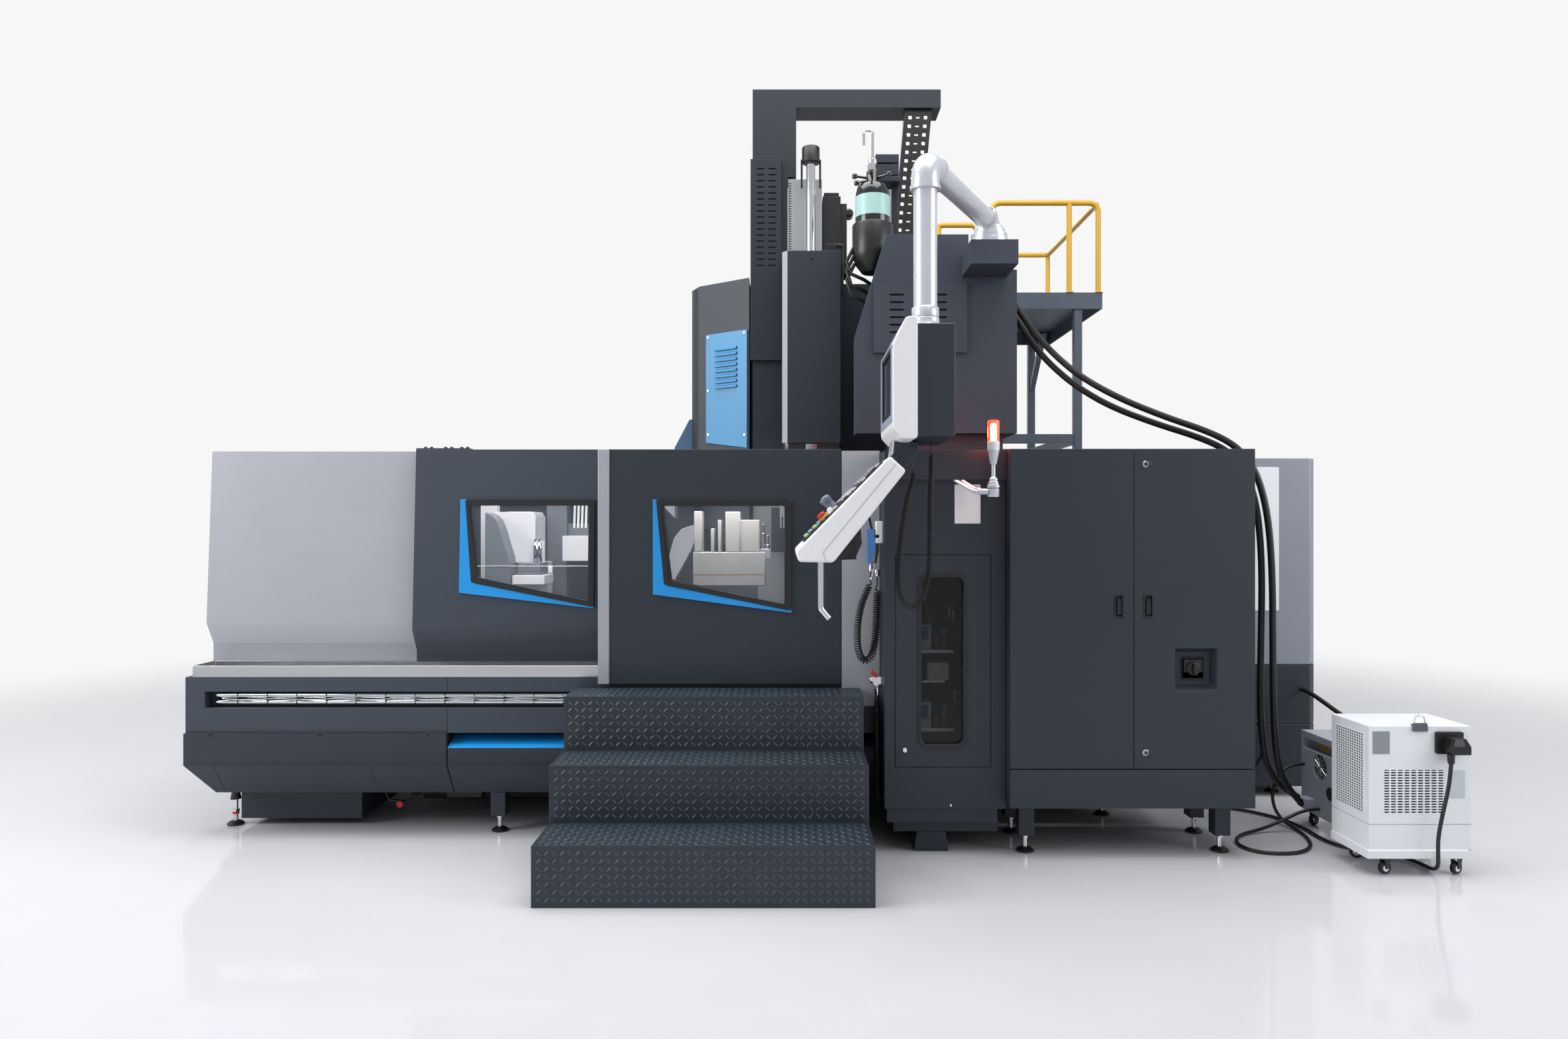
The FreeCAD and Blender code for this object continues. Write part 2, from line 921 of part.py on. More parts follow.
grey_out = d.grey_front - d.knuckle_out
grey_top_y = d.grey_front - d.grey_lean
end_cover = slab(
    "end_cover", "YZ", d.cover_left, d.grey_right,
    [(d.grey_front, d.base_top), (d.grey_front + d.panel_wall, d.base_top),
     (d.grey_front + d.panel_wall, d.grey_bevel + 5),
     (grey_out + d.panel_wall, d.grey_knuckle + 5),
     (grey_top_y + d.panel_wall, d.cover_top - d.flange_plate),
     (grey_top_y + d.cover_flange, d.cover_top - d.flange_plate),
     (grey_top_y + d.cover_flange, d.cover_top), (grey_top_y, d.cover_top),
     (grey_out, d.grey_knuckle), (d.grey_front, d.grey_bevel)],
)

pad(
    end_cover, "XY", d.base_top, d.cover_top - d.flange_plate,
    rectangle(d.cover_left, d.cover_left + d.sheet_wall, grey_top_y + d.panel_wall + 5,
              d.wall_join),
)

dark_out = d.dark_front - d.knuckle_out
dark_top_y = d.dark_front - d.grey_lean
window_cover = slab(
    "window_cover", "YZ", d.dark_left, d.dark_right,
    [(d.dark_front, d.cover_bottom), (d.grey_front, d.cover_bottom),
     (d.grey_front, d.base_top), (d.grey_front + d.panel_wall, d.base_top),
     (d.grey_front + d.panel_wall, d.cover_bottom + d.flange_plate),
     (d.dark_front + d.panel_wall, d.cover_bottom + d.flange_plate),
     (d.dark_front + d.panel_wall, d.dark_bevel + 5),
     (dark_out + d.panel_wall, d.dark_knuckle + 5),
     (dark_top_y + d.panel_wall, d.dark_top - d.flange_plate),
     (dark_top_y + d.cover_flange, d.dark_top - d.flange_plate),
     (dark_top_y + d.cover_flange, d.dark_top), (dark_top_y, d.dark_top),
     (dark_out, d.dark_knuckle), (d.dark_front, d.dark_bevel)],
)
# a stiffening return down the cover's left end, back to the grey cover
pad(
    window_cover, "XY", d.cover_bottom, d.dark_top - d.flange_plate,
    rectangle(d.dark_left, d.dark_left + d.flange_plate, dark_top_y + d.panel_wall + 10,
              d.grey_front + d.panel_wall),
)


def window_loops(left, right, top, low_left, low_right):
    outer = trapezium(left, right, top, low_left, low_right)
    inner = trapezium(
        left + d.frame_margin + d.frame_wedge, right - d.frame_side - 9, top - d.frame_band,
        low_left + d.frame_foot, low_right + d.frame_drop,
    )
    inner[3] = (left + d.frame_margin, inner[3][1])
    lap = d.frame_lap
    hole = trapezium(left + lap, right - lap, top - lap, low_left + lap, low_right + lap)
    glass = trapezium(
        left + d.frame_margin + d.frame_wedge - 9, right - d.frame_side, top - d.frame_band + 9,
        low_left + d.frame_foot - 9, low_right + d.frame_drop - 9,
    )
    glass[3] = (left + d.frame_margin - 9, glass[3][1])
    return outer, inner, hole, glass


outer, inner, hole, glass = window_loops(
    d.window_left, d.window_right, d.window_top, d.window_low_left, d.window_low_right
)
pocket(window_cover, "XZ", dark_out - 20, dark_top_y + d.panel_wall + 30, hole)

# the cover leans, so the frame and the glass are cut to the same slope
lean_top = d.window_top + 10
lean_low = d.window_low_right - 10
rise = d.dark_top - d.dark_knuckle
y_at_top = dark_out + (d.knuckle_out - d.grey_lean) * (lean_top - d.dark_knuckle) / rise
y_at_low = dark_out + (d.knuckle_out - d.grey_lean) * (lean_low - d.dark_knuckle) / rise


def leaning_plate(name, loops, front, depth):
    """A plate that follows the cover's slope; front is how far it stands out of the cover."""
    body = slab(name, "XZ", y_at_low - front - 20, y_at_top + depth + 20, *loops)
    pocket(
        body, "YZ", d.window_left - 20, d.window_right + 20,
        [(y_at_low - front - 40, lean_low), (y_at_low - front, lean_low),
         (y_at_top - front, lean_top), (y_at_low - front - 40, lean_top)],
    )
    pocket(
        body, "YZ", d.window_left - 20, d.window_right + 20,
        [(y_at_low - front + depth, lean_low), (y_at_top + depth + 60, lean_low),
         (y_at_top + depth + 60, lean_top), (y_at_top - front + depth, lean_top)],
    )
    return body


leaning_plate("left_window_frame", [outer, inner], d.frame_proud, d.frame_proud)
leaning_plate("left_window_glass", [glass], as_size(0), d.glass_thickness)

# ---------------------------------------------------------------- operator door

door_back = d.door_front + d.door_thickness
front_door = slab(
    "front_door", "XZ", d.door_front, door_back,
    rectangle(d.door_left, d.door_right, d.door_bottom, d.door_top),
)
pad(
    front_door, "XZ", d.door_front - d.strip_proud, d.door_front,
    rectangle(d.door_left, d.door_left + d.door_strip, d.door_bottom, d.door_top),
)
outer, inner, hole, glass = window_loops(
    d.door_window_left, d.door_window_right, d.door_window_top, d.door_low_left, d.door_low_right
)
pocket(front_door, "XZ", d.door_front, door_back, hole)
slab("door_window_frame", "XZ", d.door_front - d.frame_proud, d.door_front, outer, inner)
slab("door_window_glass", "XZ", d.door_front, d.door_front + d.glass_thickness, glass)

fixed = slab(
    "fixed_panel", "XZ", d.door_front, d.door_front + d.panel_wall,
    rectangle(d.door_right + d.fit_gap, d.fixed_right, d.fixed_bottom, d.fixed_top),
)
pad(
    fixed, "XY", d.base_top, d.fixed_top,
    rectangle(d.fixed_right - d.sheet_wall, d.fixed_right, d.door_front + d.panel_wall,
              d.front_wall + d.sheet_wall),
)

# ---------------------------------------------------------------- steps

second = d.step_front + d.tread_one
third = second + d.tread_two
slab(
    "steps", "YZ", d.step_left, d.step_right,
    [(d.step_front, 0), (d.step_back, 0), (d.step_back, d.step_rise * 3),
     (third, d.step_rise * 3), (third, d.step_rise * 2), (second, d.step_rise * 2),
     (second, d.step_rise), (d.step_front, d.step_rise)],
)

# ---------------------------------------------------------------- enclosure walls

wall = d.sheet_wall
wall_top = d.cover_top - d.flange_plate
enclosure = slab(
    "rear_enclosure", "XY", d.wall_low, wall_top,
    [(d.base_right + d.fit_gap, d.front_wall), (d.end_left, d.front_wall),
     (d.end_left, d.wall_back), (d.cover_left, d.wall_back), (d.cover_left, d.wall_join),
     (d.cover_left + wall, d.wall_join), (d.cover_left + wall, d.wall_back - wall),
     (d.end_left - wall, d.wall_back - wall), (d.end_left - wall, d.front_wall + wall),
     (d.base_right + d.fit_gap, d.front_wall + wall)],
)
pad(
    enclosure, "XY", wall_top, d.cover_top,
    rectangle(d.hood_left, d.end_left, d.front_wall, d.wall_back),
)

slab(
    "end_housing", "XY", d.end_low, d.end_top,
    [(d.end_left, d.end_front), (d.end_right - d.end_chamfer, d.end_front),
     (d.end_right, d.end_front + d.end_chamfer), (d.end_right, d.wall_back),
     (d.end_left, d.wall_back)],
)

# ---------------------------------------------------------------- pneumatic cabinet

air = slab(
    "air_cabinet", "XZ", d.air_front, d.air_back,
    rectangle(d.air_left, d.air_right, d.air_low, d.air_top),
)
pad(
    air, "XZ", d.air_front - d.brow_proud, d.air_front,
    rectangle(d.air_left, d.air_right, d.air_brow, d.air_top),
)
pad(
    air, "XY", d.air_plinth_low, d.air_low,
    rectangle(d.air_left + d.air_plinth_inset, d.air_right - 3 * d.air_plinth_inset,
              d.air_front + d.air_plinth_inset, d.air_back),
)
pad(
    air, "XY", d.air_block_low, d.air_plinth_low,
    rectangle(d.air_left + 4 * d.air_plinth_inset, d.air_right - 2 * d.air_plinth_inset,
              d.air_front + 5 * d.air_plinth_inset, d.air_back),
)
foot_middle = (d.air_foot_left + d.air_foot_right) / 2
pad(
    air, "XZ", d.air_front + 55, d.air_front + 175,
    [(d.air_foot_left, 0), (d.air_foot_right, 0), (d.air_foot_right - 14, d.air_block_low),
     (d.air_foot_left + 14, d.air_block_low)],
)
pad(
    air, "XZ", d.air_back - 140, d.air_back - 20,
    [(d.air_foot_left, 0), (d.air_foot_right, 0), (d.air_foot_right - 14, d.air_block_low),
     (d.air_foot_left + 14, d.air_block_low)],
)
door_gap = d.fit_gap
pocket(
    air, "XZ", d.air_front, d.air_front + d.air_door_thickness + 1,
    rectangle(d.air_door_left - door_gap, d.air_door_right + door_gap,
              d.air_door_low - door_gap, d.air_door_top + door_gap),
)
pocket(
    air, "XZ", d.air_front + d.air_door_thickness + 1, d.air_back - d.air_wall,
    rectangle(d.air_door_left + d.air_door_lap, d.air_door_right - d.air_door_lap,
              d.air_door_low + d.air_door_lap, d.air_door_top - d.air_door_lap),
)

air_door = slab(
    "air_cabinet_door", "XZ", d.air_front, d.air_front + d.air_door_thickness,
    rectangle(d.air_door_left, d.air_door_right, d.air_door_low, d.air_door_top),
)
pocket(
    air_door, "XZ", d.air_front, d.air_front + d.air_door_thickness,
    rectangle(d.air_glass_left, d.air_glass_right, d.air_glass_low, d.air_glass_top),
)
pad(
    air_door, "XZ", d.air_front - 4, d.air_front,
    (d.air_door_left + 42, d.air_door_low + 81, 11),
)
round_edges(
    air_door, 1, 30,
    lambda p: SIZES["air_glass_left"] - 1 < p.x < SIZES["air_glass_right"] + 1
    and SIZES["air_glass_low"] - 1 < p.z < SIZES["air_glass_top"] + 1,
)
slab(
    "air_cabinet_window", "XZ", d.air_front + d.air_door_thickness,
    d.air_front + d.air_door_thickness + d.glass_thickness,
    rectangle(d.air_glass_left - 12, d.air_glass_right + 12, d.air_glass_low - 12,
              d.air_glass_top + 12),
)

unit_one = []
for level in (d.shelf_one, d.shelf_two):
    shelf_back = d.air_back - d.air_wall
    unit_one.append(block(
        "shelf", (d.air_door_left + 20, d.air_glass_right - 10),
        (shelf_back - d.shelf_depth, shelf_back), (level, level + d.shelf_plate),
    ))
    unit_one.append(block(
        "filter_box", (d.air_glass_left - 50, d.air_glass_left + 60),
        (shelf_back - d.shelf_depth + 30, shelf_back - 60),
        (level + d.shelf_plate, level + d.shelf_plate + 112),
    ))
    unit_one.append(rod(
        "filter_bowl", "z", (d.air_glass_right - 38, shelf_back - d.shelf_depth + 50), 20,
        level + d.shelf_plate, level + d.shelf_plate + 52,
    ))
    unit_one.append(rod(
        "gauge", "y", (d.air_glass_right - 38, level + d.shelf_plate + 62), 16,
        shelf_back - d.shelf_depth + 38, shelf_back - d.shelf_depth + 62,
    ))
    unit_one.append(block(
        "valve_block", (d.air_glass_left + 42, d.air_glass_left + 112),
        (shelf_back - d.shelf_depth + 40, shelf_back - 80), (level - 62, level),
    ))
fuse("filter_units", unit_one)

# ---------------------------------------------------------------- control cabinet

cab_body_front = d.cab_front + d.cab_door_thickness + 0.5
cabinet = slab(
    "control_cabinet", "XZ", cab_body_front, d.cab_back,
    rectangle(d.cab_left, d.cab_right, d.cab_low, d.cab_top),
)
pad(
    cabinet, "XZ", d.cab_front, cab_body_front,
    rectangle(d.cab_left, d.cab_right, d.cab_low, d.cab_door_low - 4),
)
pocket(
    cabinet, "XZ", cab_body_front, d.cab_back - d.cab_wall,
    rectangle(d.cab_left + d.cab_wall, d.cab_right - d.cab_wall, d.cab_door_low + d.cab_wall,
              d.cab_top - d.cab_wall),
)


def cabinet_door(name, left, right, pull):
    back = d.cab_front + d.cab_door_thickness
    door = slab(name, "XZ", d.cab_front, back, rectangle(left, right, d.cab_door_low, d.cab_top))
    pocket(
        door, "XZ", d.cab_front, d.cab_front + d.pull_depth,
        rectangle(pull, pull + d.pull_width, d.pull_low, d.pull_top),
    )
    pad(
        door, "XZ", d.cab_front + 3, d.cab_front + d.pull_depth,
        rectangle(pull + 10, pull + d.pull_width - 6, d.pull_low + 12, d.pull_top - 30),
    )
    return door


cabinet_door("cabinet_door_left", d.cab_left, d.cab_split - 1, d.pull_left)
right_door = cabinet_door("cabinet_door_right", d.cab_split + 1, d.cab_right, d.pull_right)
door_back = d.cab_front + d.cab_door_thickness
pad(
    right_door, "XZ", door_back, d.cab_front + d.recess_depth + d.recess_wall,
    rectangle(d.recess_left - d.recess_wall, d.recess_right + d.recess_wall,
              d.recess_low - d.recess_wall, d.recess_top + d.recess_wall),
)
pocket(
    right_door, "XZ", d.cab_front, d.cab_front + d.recess_depth,
    rectangle(d.recess_left, d.recess_right, d.recess_low, d.recess_top), taper=-25,
)
for level in (d.lock_low, d.lock_high):
    pad(
        right_door, "XZ", d.cab_front - 4, d.cab_front,
        (d.pull_right + d.pull_width / 2, level, d.lock_radius),
    )
switch_x = (d.recess_left + d.recess_right) / 2
switch_z = (d.recess_low + d.recess_top) / 2
pad(
    right_door, "XZ", d.cab_front + d.recess_depth - 8, d.cab_front + d.recess_depth,
    rectangle(switch_x - 50, switch_x + 50, switch_z - 48, switch_z + 48),
)
switch_face = d.cab_front + d.recess_depth - 8
isolator = new_body("isolator_switch")
pad(isolator, "XZ", switch_face - 14, switch_face - 0.3, (switch_x, switch_z, d.switch_size / 2))
pad(
    isolator, "XZ", switch_face - 34, switch_face - 14,
    rectangle(switch_x - d.switch_grip / 2, switch_x + d.switch_grip / 2,
              switch_z - d.switch_size / 2, switch_z + d.switch_size / 2),
)

# ---------------------------------------------------------------- column, covers and bridge

column = slab(
    "column", "XY", d.bed_top, d.column_top,
    rectangle(d.column_left, d.column_right, d.column_front, d.column_back),
)
pad(
    column, "XY", d.guide_low, d.guide_top,
    rectangle(d.guide_left, d.guide_right, d.guide_front, d.column_front),
)

slab(
    "column_cover", "XY", d.side_low, d.side_top,
    [(d.side_near_left, d.side_near_front), (d.side_near_left, d.column_front),
     (d.column_left, d.column_front), (d.column_left, d.side_back),
     (d.side_left, d.side_back), (d.side_left, d.side_corner),
     (d.side_far_left, d.side_far_front)],
)

beam_low = d.beam_top - d.beam_depth
bridge = slab(
    "bridge_frame", "XZ", d.bridge_front, d.bridge_back,
    [(d.bridge_left, d.cover_top), (d.post_low_right, d.cover_top),
     (d.post_low_right, d.post_step), (d.post_right, d.post_step), (d.post_right, beam_low),
     (d.bridge_right, beam_low), (d.bridge_right, d.beam_top), (d.bridge_left, d.beam_top)],
)
pad(
    bridge, "XZ", d.bridge_front - d.vent_out, d.bridge_front,
    rectangle(d.vent_left, d.vent_right, d.vent_low, d.vent_top),
)


def slots(left, right, low, pitch, height, count):
    loops = []
    for i in range(count):
        loops.append(rectangle(left, right, low + pitch * i, low + pitch * i + height))
    return loops


vent_face = d.bridge_front - d.vent_out
for left in (d.vent_left + 38, d.vent_left + 108):
    pocket(
        bridge, "XZ", vent_face, vent_face + 8,
        *slots(left, left + 46, d.vent_low + 560, 36, 9, 17),
    )

# louvred panels: a blue one on the column's slanted side and a dark one on the big cover
slant_x = SIZES["side_near_left"] - SIZES["side_far_left"]
slant_y = SIZES["side_near_front"] - SIZES["side_far_front"]
slant = math.degrees(math.atan2(slant_y, slant_x))
blue = doc.addObject("PartDesign::Body", "blue_panel")
pad(
    blue, "XZ", -d.blue_plate, 0,
    [(d.blue_inset, d.blue_low + 45), (d.blue_inset + d.blue_width, d.blue_low),
     (d.blue_inset + d.blue_width, d.blue_top), (d.blue_inset, d.blue_top)],
)
pad(
    blue, "XZ", -d.blue_plate - d.louvre_out, -d.blue_plate,
    *slots(d.blue_inset + 75, d.blue_inset + d.blue_width - 75, d.blue_top - 340,
           d.louvre_pitch, d.louvre_height, 8),
)
blue.Placement = Placement(Vector(0, 0, 0), Rotation(Vector(0, 0, 1), slant))
blue.setExpression("Placement.Base.x", d.side_far_left.text)
blue.setExpression("Placement.Base.y", d.side_far_front.text)

dark_panel = doc.addObject("PartDesign::Body", "dark_panel")
pad(
    dark_panel, "XZ", d.big_front - d.panel_out, d.big_front,
    rectangle(d.panel_left, d.panel_right, d.panel_low, d.panel_top),
)
for left in (d.panel_left + 82, d.panel_left + 305):
    pocket(
        dark_panel, "XZ", d.big_front - d.panel_out, d.big_front - 2,
        *slots(left, left + 78, d.panel_low + 100, 39, 12, 6),
    )
group("louvre_panels", [blue, dark_panel])

big = slab(
    "front_cover", "XZ", d.big_front, d.big_back,
    [(d.big_left, d.big_low), (d.big_right, d.big_low), (d.big_right, d.big_notch_low),
     (d.big_notch_left, d.big_notch_low), (d.big_notch_left, d.big_top),
     (d.big_cut_left, d.big_top), (d.big_shoulder_left, d.big_shoulder),
     (d.big_left, d.big_waist)],
)
pocket(
    big, "XY", d.big_low - 5, d.big_top + 5,
    rectangle(d.big_left - 5, d.big_pocket_right, d.big_front + d.big_skin, d.big_back + 5),
)
pad(
    big, "XY", d.cover_top, d.big_low,
    rectangle(d.big_pocket_right, d.big_right - d.plinth_inset,
              d.big_front + d.plinth_inset, d.big_back - d.plinth_inset),
)

pad(
    big, "XZ", d.mount_front, d.big_front + 1,
    rectangle(d.mount_left, d.mount_right, d.mount_low - 40, d.mount_top),
)
pad(
    big, "XY", d.mount_top, d.mount_top + d.flange_thickness,
    (d.arm_x, d.arm_y, d.flange_radius),
)

# ---------------------------------------------------------------- head

head_chamfer = d.head_chamfer
skin = d.head_wall
slab(
    "head_cover", "XY", d.head_low, d.head_top,
    [(d.head_left, d.guide_front - d.head_gap), (d.head_left, d.head_front + head_chamfer),
     (d.head_left + head_chamfer, d.head_front), (d.head_right, d.head_front),
     (d.head_right, d.guide_front - d.head_gap), (d.head_right - skin, d.guide_front - d.head_gap),
     (d.head_right - skin, d.head_front + skin),
     (d.head_left + head_chamfer + skin, d.head_front + skin),
     (d.head_left + skin, d.head_front + head_chamfer + skin),
     (d.head_left + skin, d.guide_front - d.head_gap)],
)
head = slab(
    "head", "XY", d.ram_low, d.head_top - skin,
    [(d.head_left + skin, d.guide_front - d.slide_gap),
     (d.head_left + skin, d.head_front + head_chamfer + skin),
     (d.head_left + head_chamfer + skin, d.head_front + skin),
     (d.head_right - skin, d.head_front + skin),
     (d.head_right - skin, d.guide_front - d.slide_gap)],
)
pad(
    head, "XY", d.nose_low + 60, d.ram_low,
    rectangle(d.nozzle_left, d.nozzle_right + 30, d.spindle_y - 25, d.spindle_y + 25),
)
pad(
    head, "XZ", d.spindle_y - 25, d.spindle_y + 25,
    rectangle(d.nozzle_left, d.head_left + skin + 1, d.ram_low, d.ram_low + 60),
)
pad(head, "XY", d.head_top - skin, d.rod_top, (d.rod_x, d.rod_y, d.rod_radius))
pad(head, "XY", d.rod_top, d.cap_top, (d.rod_x, d.rod_y, d.cap_radius))

spindle = new_body("spindle")
pad(
    spindle, "XY", d.nose_low + 130, d.ram_low - 0.5,
    (d.spindle_x, d.spindle_y, d.spindle_radius),
)
pad(
    spindle, "XY", d.nose_low + 50, d.nose_low + 130,
    (d.spindle_x, d.spindle_y, d.nose_radius),
)
pad(
    spindle, "XY", d.nose_low, d.nose_low + 50,
    (d.spindle_x, d.spindle_y, d.nose_radius / 2),
)

# ---------------------------------------------------------------- table, saddle and fixture

table = slab(
    "table", "XY", d.table_low, d.table_top,
    rectangle(d.table_left, d.table_right, d.table_front, d.table_back),
)
for i in range(4):
    middle = d.table_front + (d.table_back - d.table_front) * (0.2 + 0.2 * i)
    pocket(
        table, "YZ", d.table_left, d.table_right,
        rectangle(middle - d.tee_width / 2, middle + d.tee_width / 2,
                  d.table_top - d.tee_depth, d.table_top),
    )
pad(
    table, "XY", d.table_top, d.fixture_low,
    rectangle(d.fixture_left + 40, d.fixture_right - 40, d.fixture_front + 20,
              d.fixture_back - 20),
)
pad(
    table, "XZ", d.fixture_front, d.fixture_back,
    rectangle(d.fixture_left, d.fixture_right, d.fixture_low, d.fixture_low + 52),
    )
pad(
    table, "XZ", d.fixture_front + 4, d.fixture_back,
    rectangle(d.fixture_left, d.fixture_right, d.fixture_low + 52, d.fixture_top),
)
posts = (
    (4, 43, 215), (92, 107, 124), (129, 144, 169), (169, 244, 213), (246, 347, 169),
)
for left, right, height in posts:
    pad(
        table, "XY", d.fixture_top, d.fixture_top + height,
        rectangle(d.fixture_left + left, d.fixture_left + right, d.fixture_front + 50,
                  d.fixture_front + 50 + (right - left) * 0.9),
    )

way_top = d.bed_top + d.way_height
saddle = slab(
    "saddle", "XY", way_top + 0.5, d.table_low - 0.5,
    rectangle(d.saddle_left, d.saddle_right, d.saddle_front, d.saddle_back),
)

changer = slab(
    "tool_changer", "XZ", d.changer_front, d.changer_back,
    [(d.changer_left, d.changer_top - 40), (d.changer_left + 60, d.changer_top),
     (d.changer_right - 20, d.changer_top), (d.changer_right, d.changer_top - 30),
     (d.changer_right, d.changer_low), (d.changer_left + 105, d.changer_low),
     (d.changer_left + 75, d.changer_top - 150)],
)
pad(
    changer, "XY", d.bed_top, d.changer_low,
    rectangle(d.changer_left + 105, d.changer_right + 45, d.changer_front + 40,
              d.changer_back),
)
pad(
    changer, "XY", d.changer_low, d.changer_low + 130,
    (d.changer_right + 20, d.changer_front + 75, 16),
)

# ---------------------------------------------------------------- accumulator and chain

seat_flat = d.seat_radius * (reach(18) * math.cos(math.pi / 18))
bottle = turned("bottle", (d.big_pocket_right - seat_flat, d.bottle_y), [
    (d.seat_foot, d.seat_low), (d.seat_radius, d.seat_low + 95), (d.seat_radius, d.seat_top),
    (d.bottle_radius, d.seat_top), (d.bottle_radius, d.bottle_top - 40),
    (d.bottle_radius - 40, d.bottle_top), (d.neck_radius, d.bottle_top),
    (d.neck_radius, d.neck_top), (d.nut_radius, d.neck_top), (d.nut_radius, d.nut_top),
])
piece("accumulator", bottle)

chain_high = beam_low
chain_lean = d.chain_lean
top_left = d.chain_top_left
chain_span = chain_high - d.chain_low
chain = slab(
    "cable_chain", "XZ", d.chain_front, d.chain_front + d.chain_depth,
    [(top_left - chain_lean, d.chain_low), (top_left - chain_lean + d.chain_width, d.chain_low),
     (top_left + d.chain_width, chain_high), (top_left, chain_high)],
)
holes = []
for i in range(15):
    up = chain_high - 40 - d.link_pitch * i
    shift = chain_lean * ((40 + SIZES["link_pitch"] * i) / chain_span.value)
    for across in (24, 163 - 24 - 22):
        left = top_left - shift + across
        holes.append(rectangle(left, left + d.link_hole, up - d.link_hole, up))
pocket(chain, "XZ", d.chain_front, d.chain_front + d.chain_depth, *holes)
pad(
    chain, "XZ", d.big_back, d.chain_front,
    rectangle(top_left - chain_lean + 30, top_left - chain_lean + d.chain_width - 10,
              d.chain_low, d.chain_low + 60),
)

# ---------------------------------------------------------------- platform and railing

deck = slab(
    "platform", "XY", d.deck_low, d.deck_top,
    rectangle(d.deck_left, d.deck_right, d.deck_front, d.deck_back),
)
pocket(
    deck, "XY", d.deck_low, d.deck_top - d.deck_plate,
    rectangle(d.deck_left + d.deck_wall, d.deck_right - d.deck_wall,
              d.deck_front + d.deck_wall, d.deck_back - d.deck_wall),
)
leg = d.leg_size
leg_right = d.deck_right - d.leg_inset
leg_left = d.deck_left + d.leg_inset
front_leg = d.deck_front + d.deck_wall
back_leg = d.deck_back - d.deck_wall - leg
for left in (leg_left, leg_right - leg):
    for front in (front_leg, back_leg):
        pad(deck, "XY", 0, d.deck_top - d.deck_plate, rectangle(left, left + leg, front, front + leg))
for left in (leg_left, leg_right - leg):
    pad(
        deck, "XZ", front_leg + leg - 1, back_leg + 1,
        rectangle(left + 6, left + leg - 6, d.cross_low, d.cross_low + d.cross_height),
    )
pad(
    deck, "YZ", leg_right - leg + 8, leg_right - 8,
    [(back_leg + 1, d.deck_low - 420), (back_leg + 1, d.deck_low - 350),
     (back_leg - 340, d.deck_low + 10), (back_leg - 410, d.deck_low + 10)],
)
for front in (front_leg, back_leg):
    pad(
        deck, "YZ", leg_left + leg - 1, leg_right - leg + 1,
        rectangle(front + 6, front + leg - 6, d.cross_low, d.cross_low + d.cross_height),
    )

inset = d.rail_inset
rail_front = d.deck_front + inset
rail_rear = d.deck_back - inset
rail_side = d.deck_right - inset
rail = []
low = d.deck_top
high = d.rail_height


def upright(x, y):
    rail.append(rod("rail_post", "z", (x, y), d.rail_radius, low, high - d.rail_radius / 2))


rail.append(rod("rail_front", "x", (rail_front, high), d.rail_radius, d.rail_gate, rail_side))
rail.append(rod("rail_side", "y", (rail_side, high), d.rail_radius, rail_front, rail_rear))
rail.append(rod("rail_rear", "x", (rail_rear, high), d.rail_radius,
                d.rail_inner_left, rail_side))
rail.append(rod("rail_inner", "x", (d.rail_inner_y, high), d.rail_radius,
                d.rail_inner_left, d.rail_gate))
rail.append(rod("rail_left", "y", (d.rail_inner_left, high), d.rail_radius,
                d.rail_inner_y, rail_rear))
upright(d.rail_gate, rail_front)
upright(rail_side - 209, rail_front)
upright(rail_side, rail_front)
upright(rail_side, rail_rear)
upright(d.rail_inner_left, rail_rear)
upright(d.rail_inner_left, d.rail_inner_y)
upright(d.rail_gate, d.rail_inner_y)
fuse("railing", rail)

# ---------------------------------------------------------------- signal lamp

lamp = turned("lamp_base", (d.lamp_x, d.lamp_y), [
    (d.lamp_radius - 4, d.lamp_low), (d.lamp_radius - 4, d.lamp_foot), (9, d.lamp_foot),
    (9, d.lamp_base - 75), (d.lamp_radius, d.lamp_base - 25), (d.lamp_radius, d.lamp_base),
])
bracket = block(
    "lamp_bracket", (d.air_left + 320, d.lamp_x), (d.lamp_y - 8, d.air_front),
    (d.lamp_low + 30, d.lamp_low + 38),
)
fuse("signal_lamp", [lamp, bracket])
slab("lamp_lens", "XY", d.lamp_base, d.lamp_top, (d.lamp_x, d.lamp_y, d.lamp_radius))

# ---------------------------------------------------------------- pendant arm

mount_face = d.mount_top + d.flange_thickness
span = Vector(
    SIZES["elbow_x"] - SIZES["arm_x"], SIZES["elbow_y"] - SIZES["arm_y"], 0
)
height = SIZES["arm_height"]
elbow = Vector(SIZES["elbow_x"], SIZES["elbow_y"], height)
pivot = Vector(SIZES["arm_x"], SIZES["arm_y"], mount_face.value + 0.5)
rise_point = Vector(SIZES["arm_x"], SIZES["arm_y"], height)
arm_bend = 80
arm_shape = feature("arm_tube", tube(
    "swing_arm", [pivot, rise_point, elbow, Vector(elbow.x, elbow.y, SIZES["drop_low"] + 1)],
    SIZES["arm_radius"], sides=16, bend=arm_bend,
))
collar = rod(
    "arm_collar", "z", (d.arm_x, d.arm_y), d.arm_radius + 16, mount_face + 0.5, mount_face + 40,
)
sleeve = rod(
    "arm_sleeve", "z", (d.elbow_x, d.elbow_y), d.arm_radius + 6, d.arm_height - 130,
    d.arm_height - 106,
)
fuse("swing_arm", [arm_shape, collar, sleeve])

# ---------------------------------------------------------------- pendant

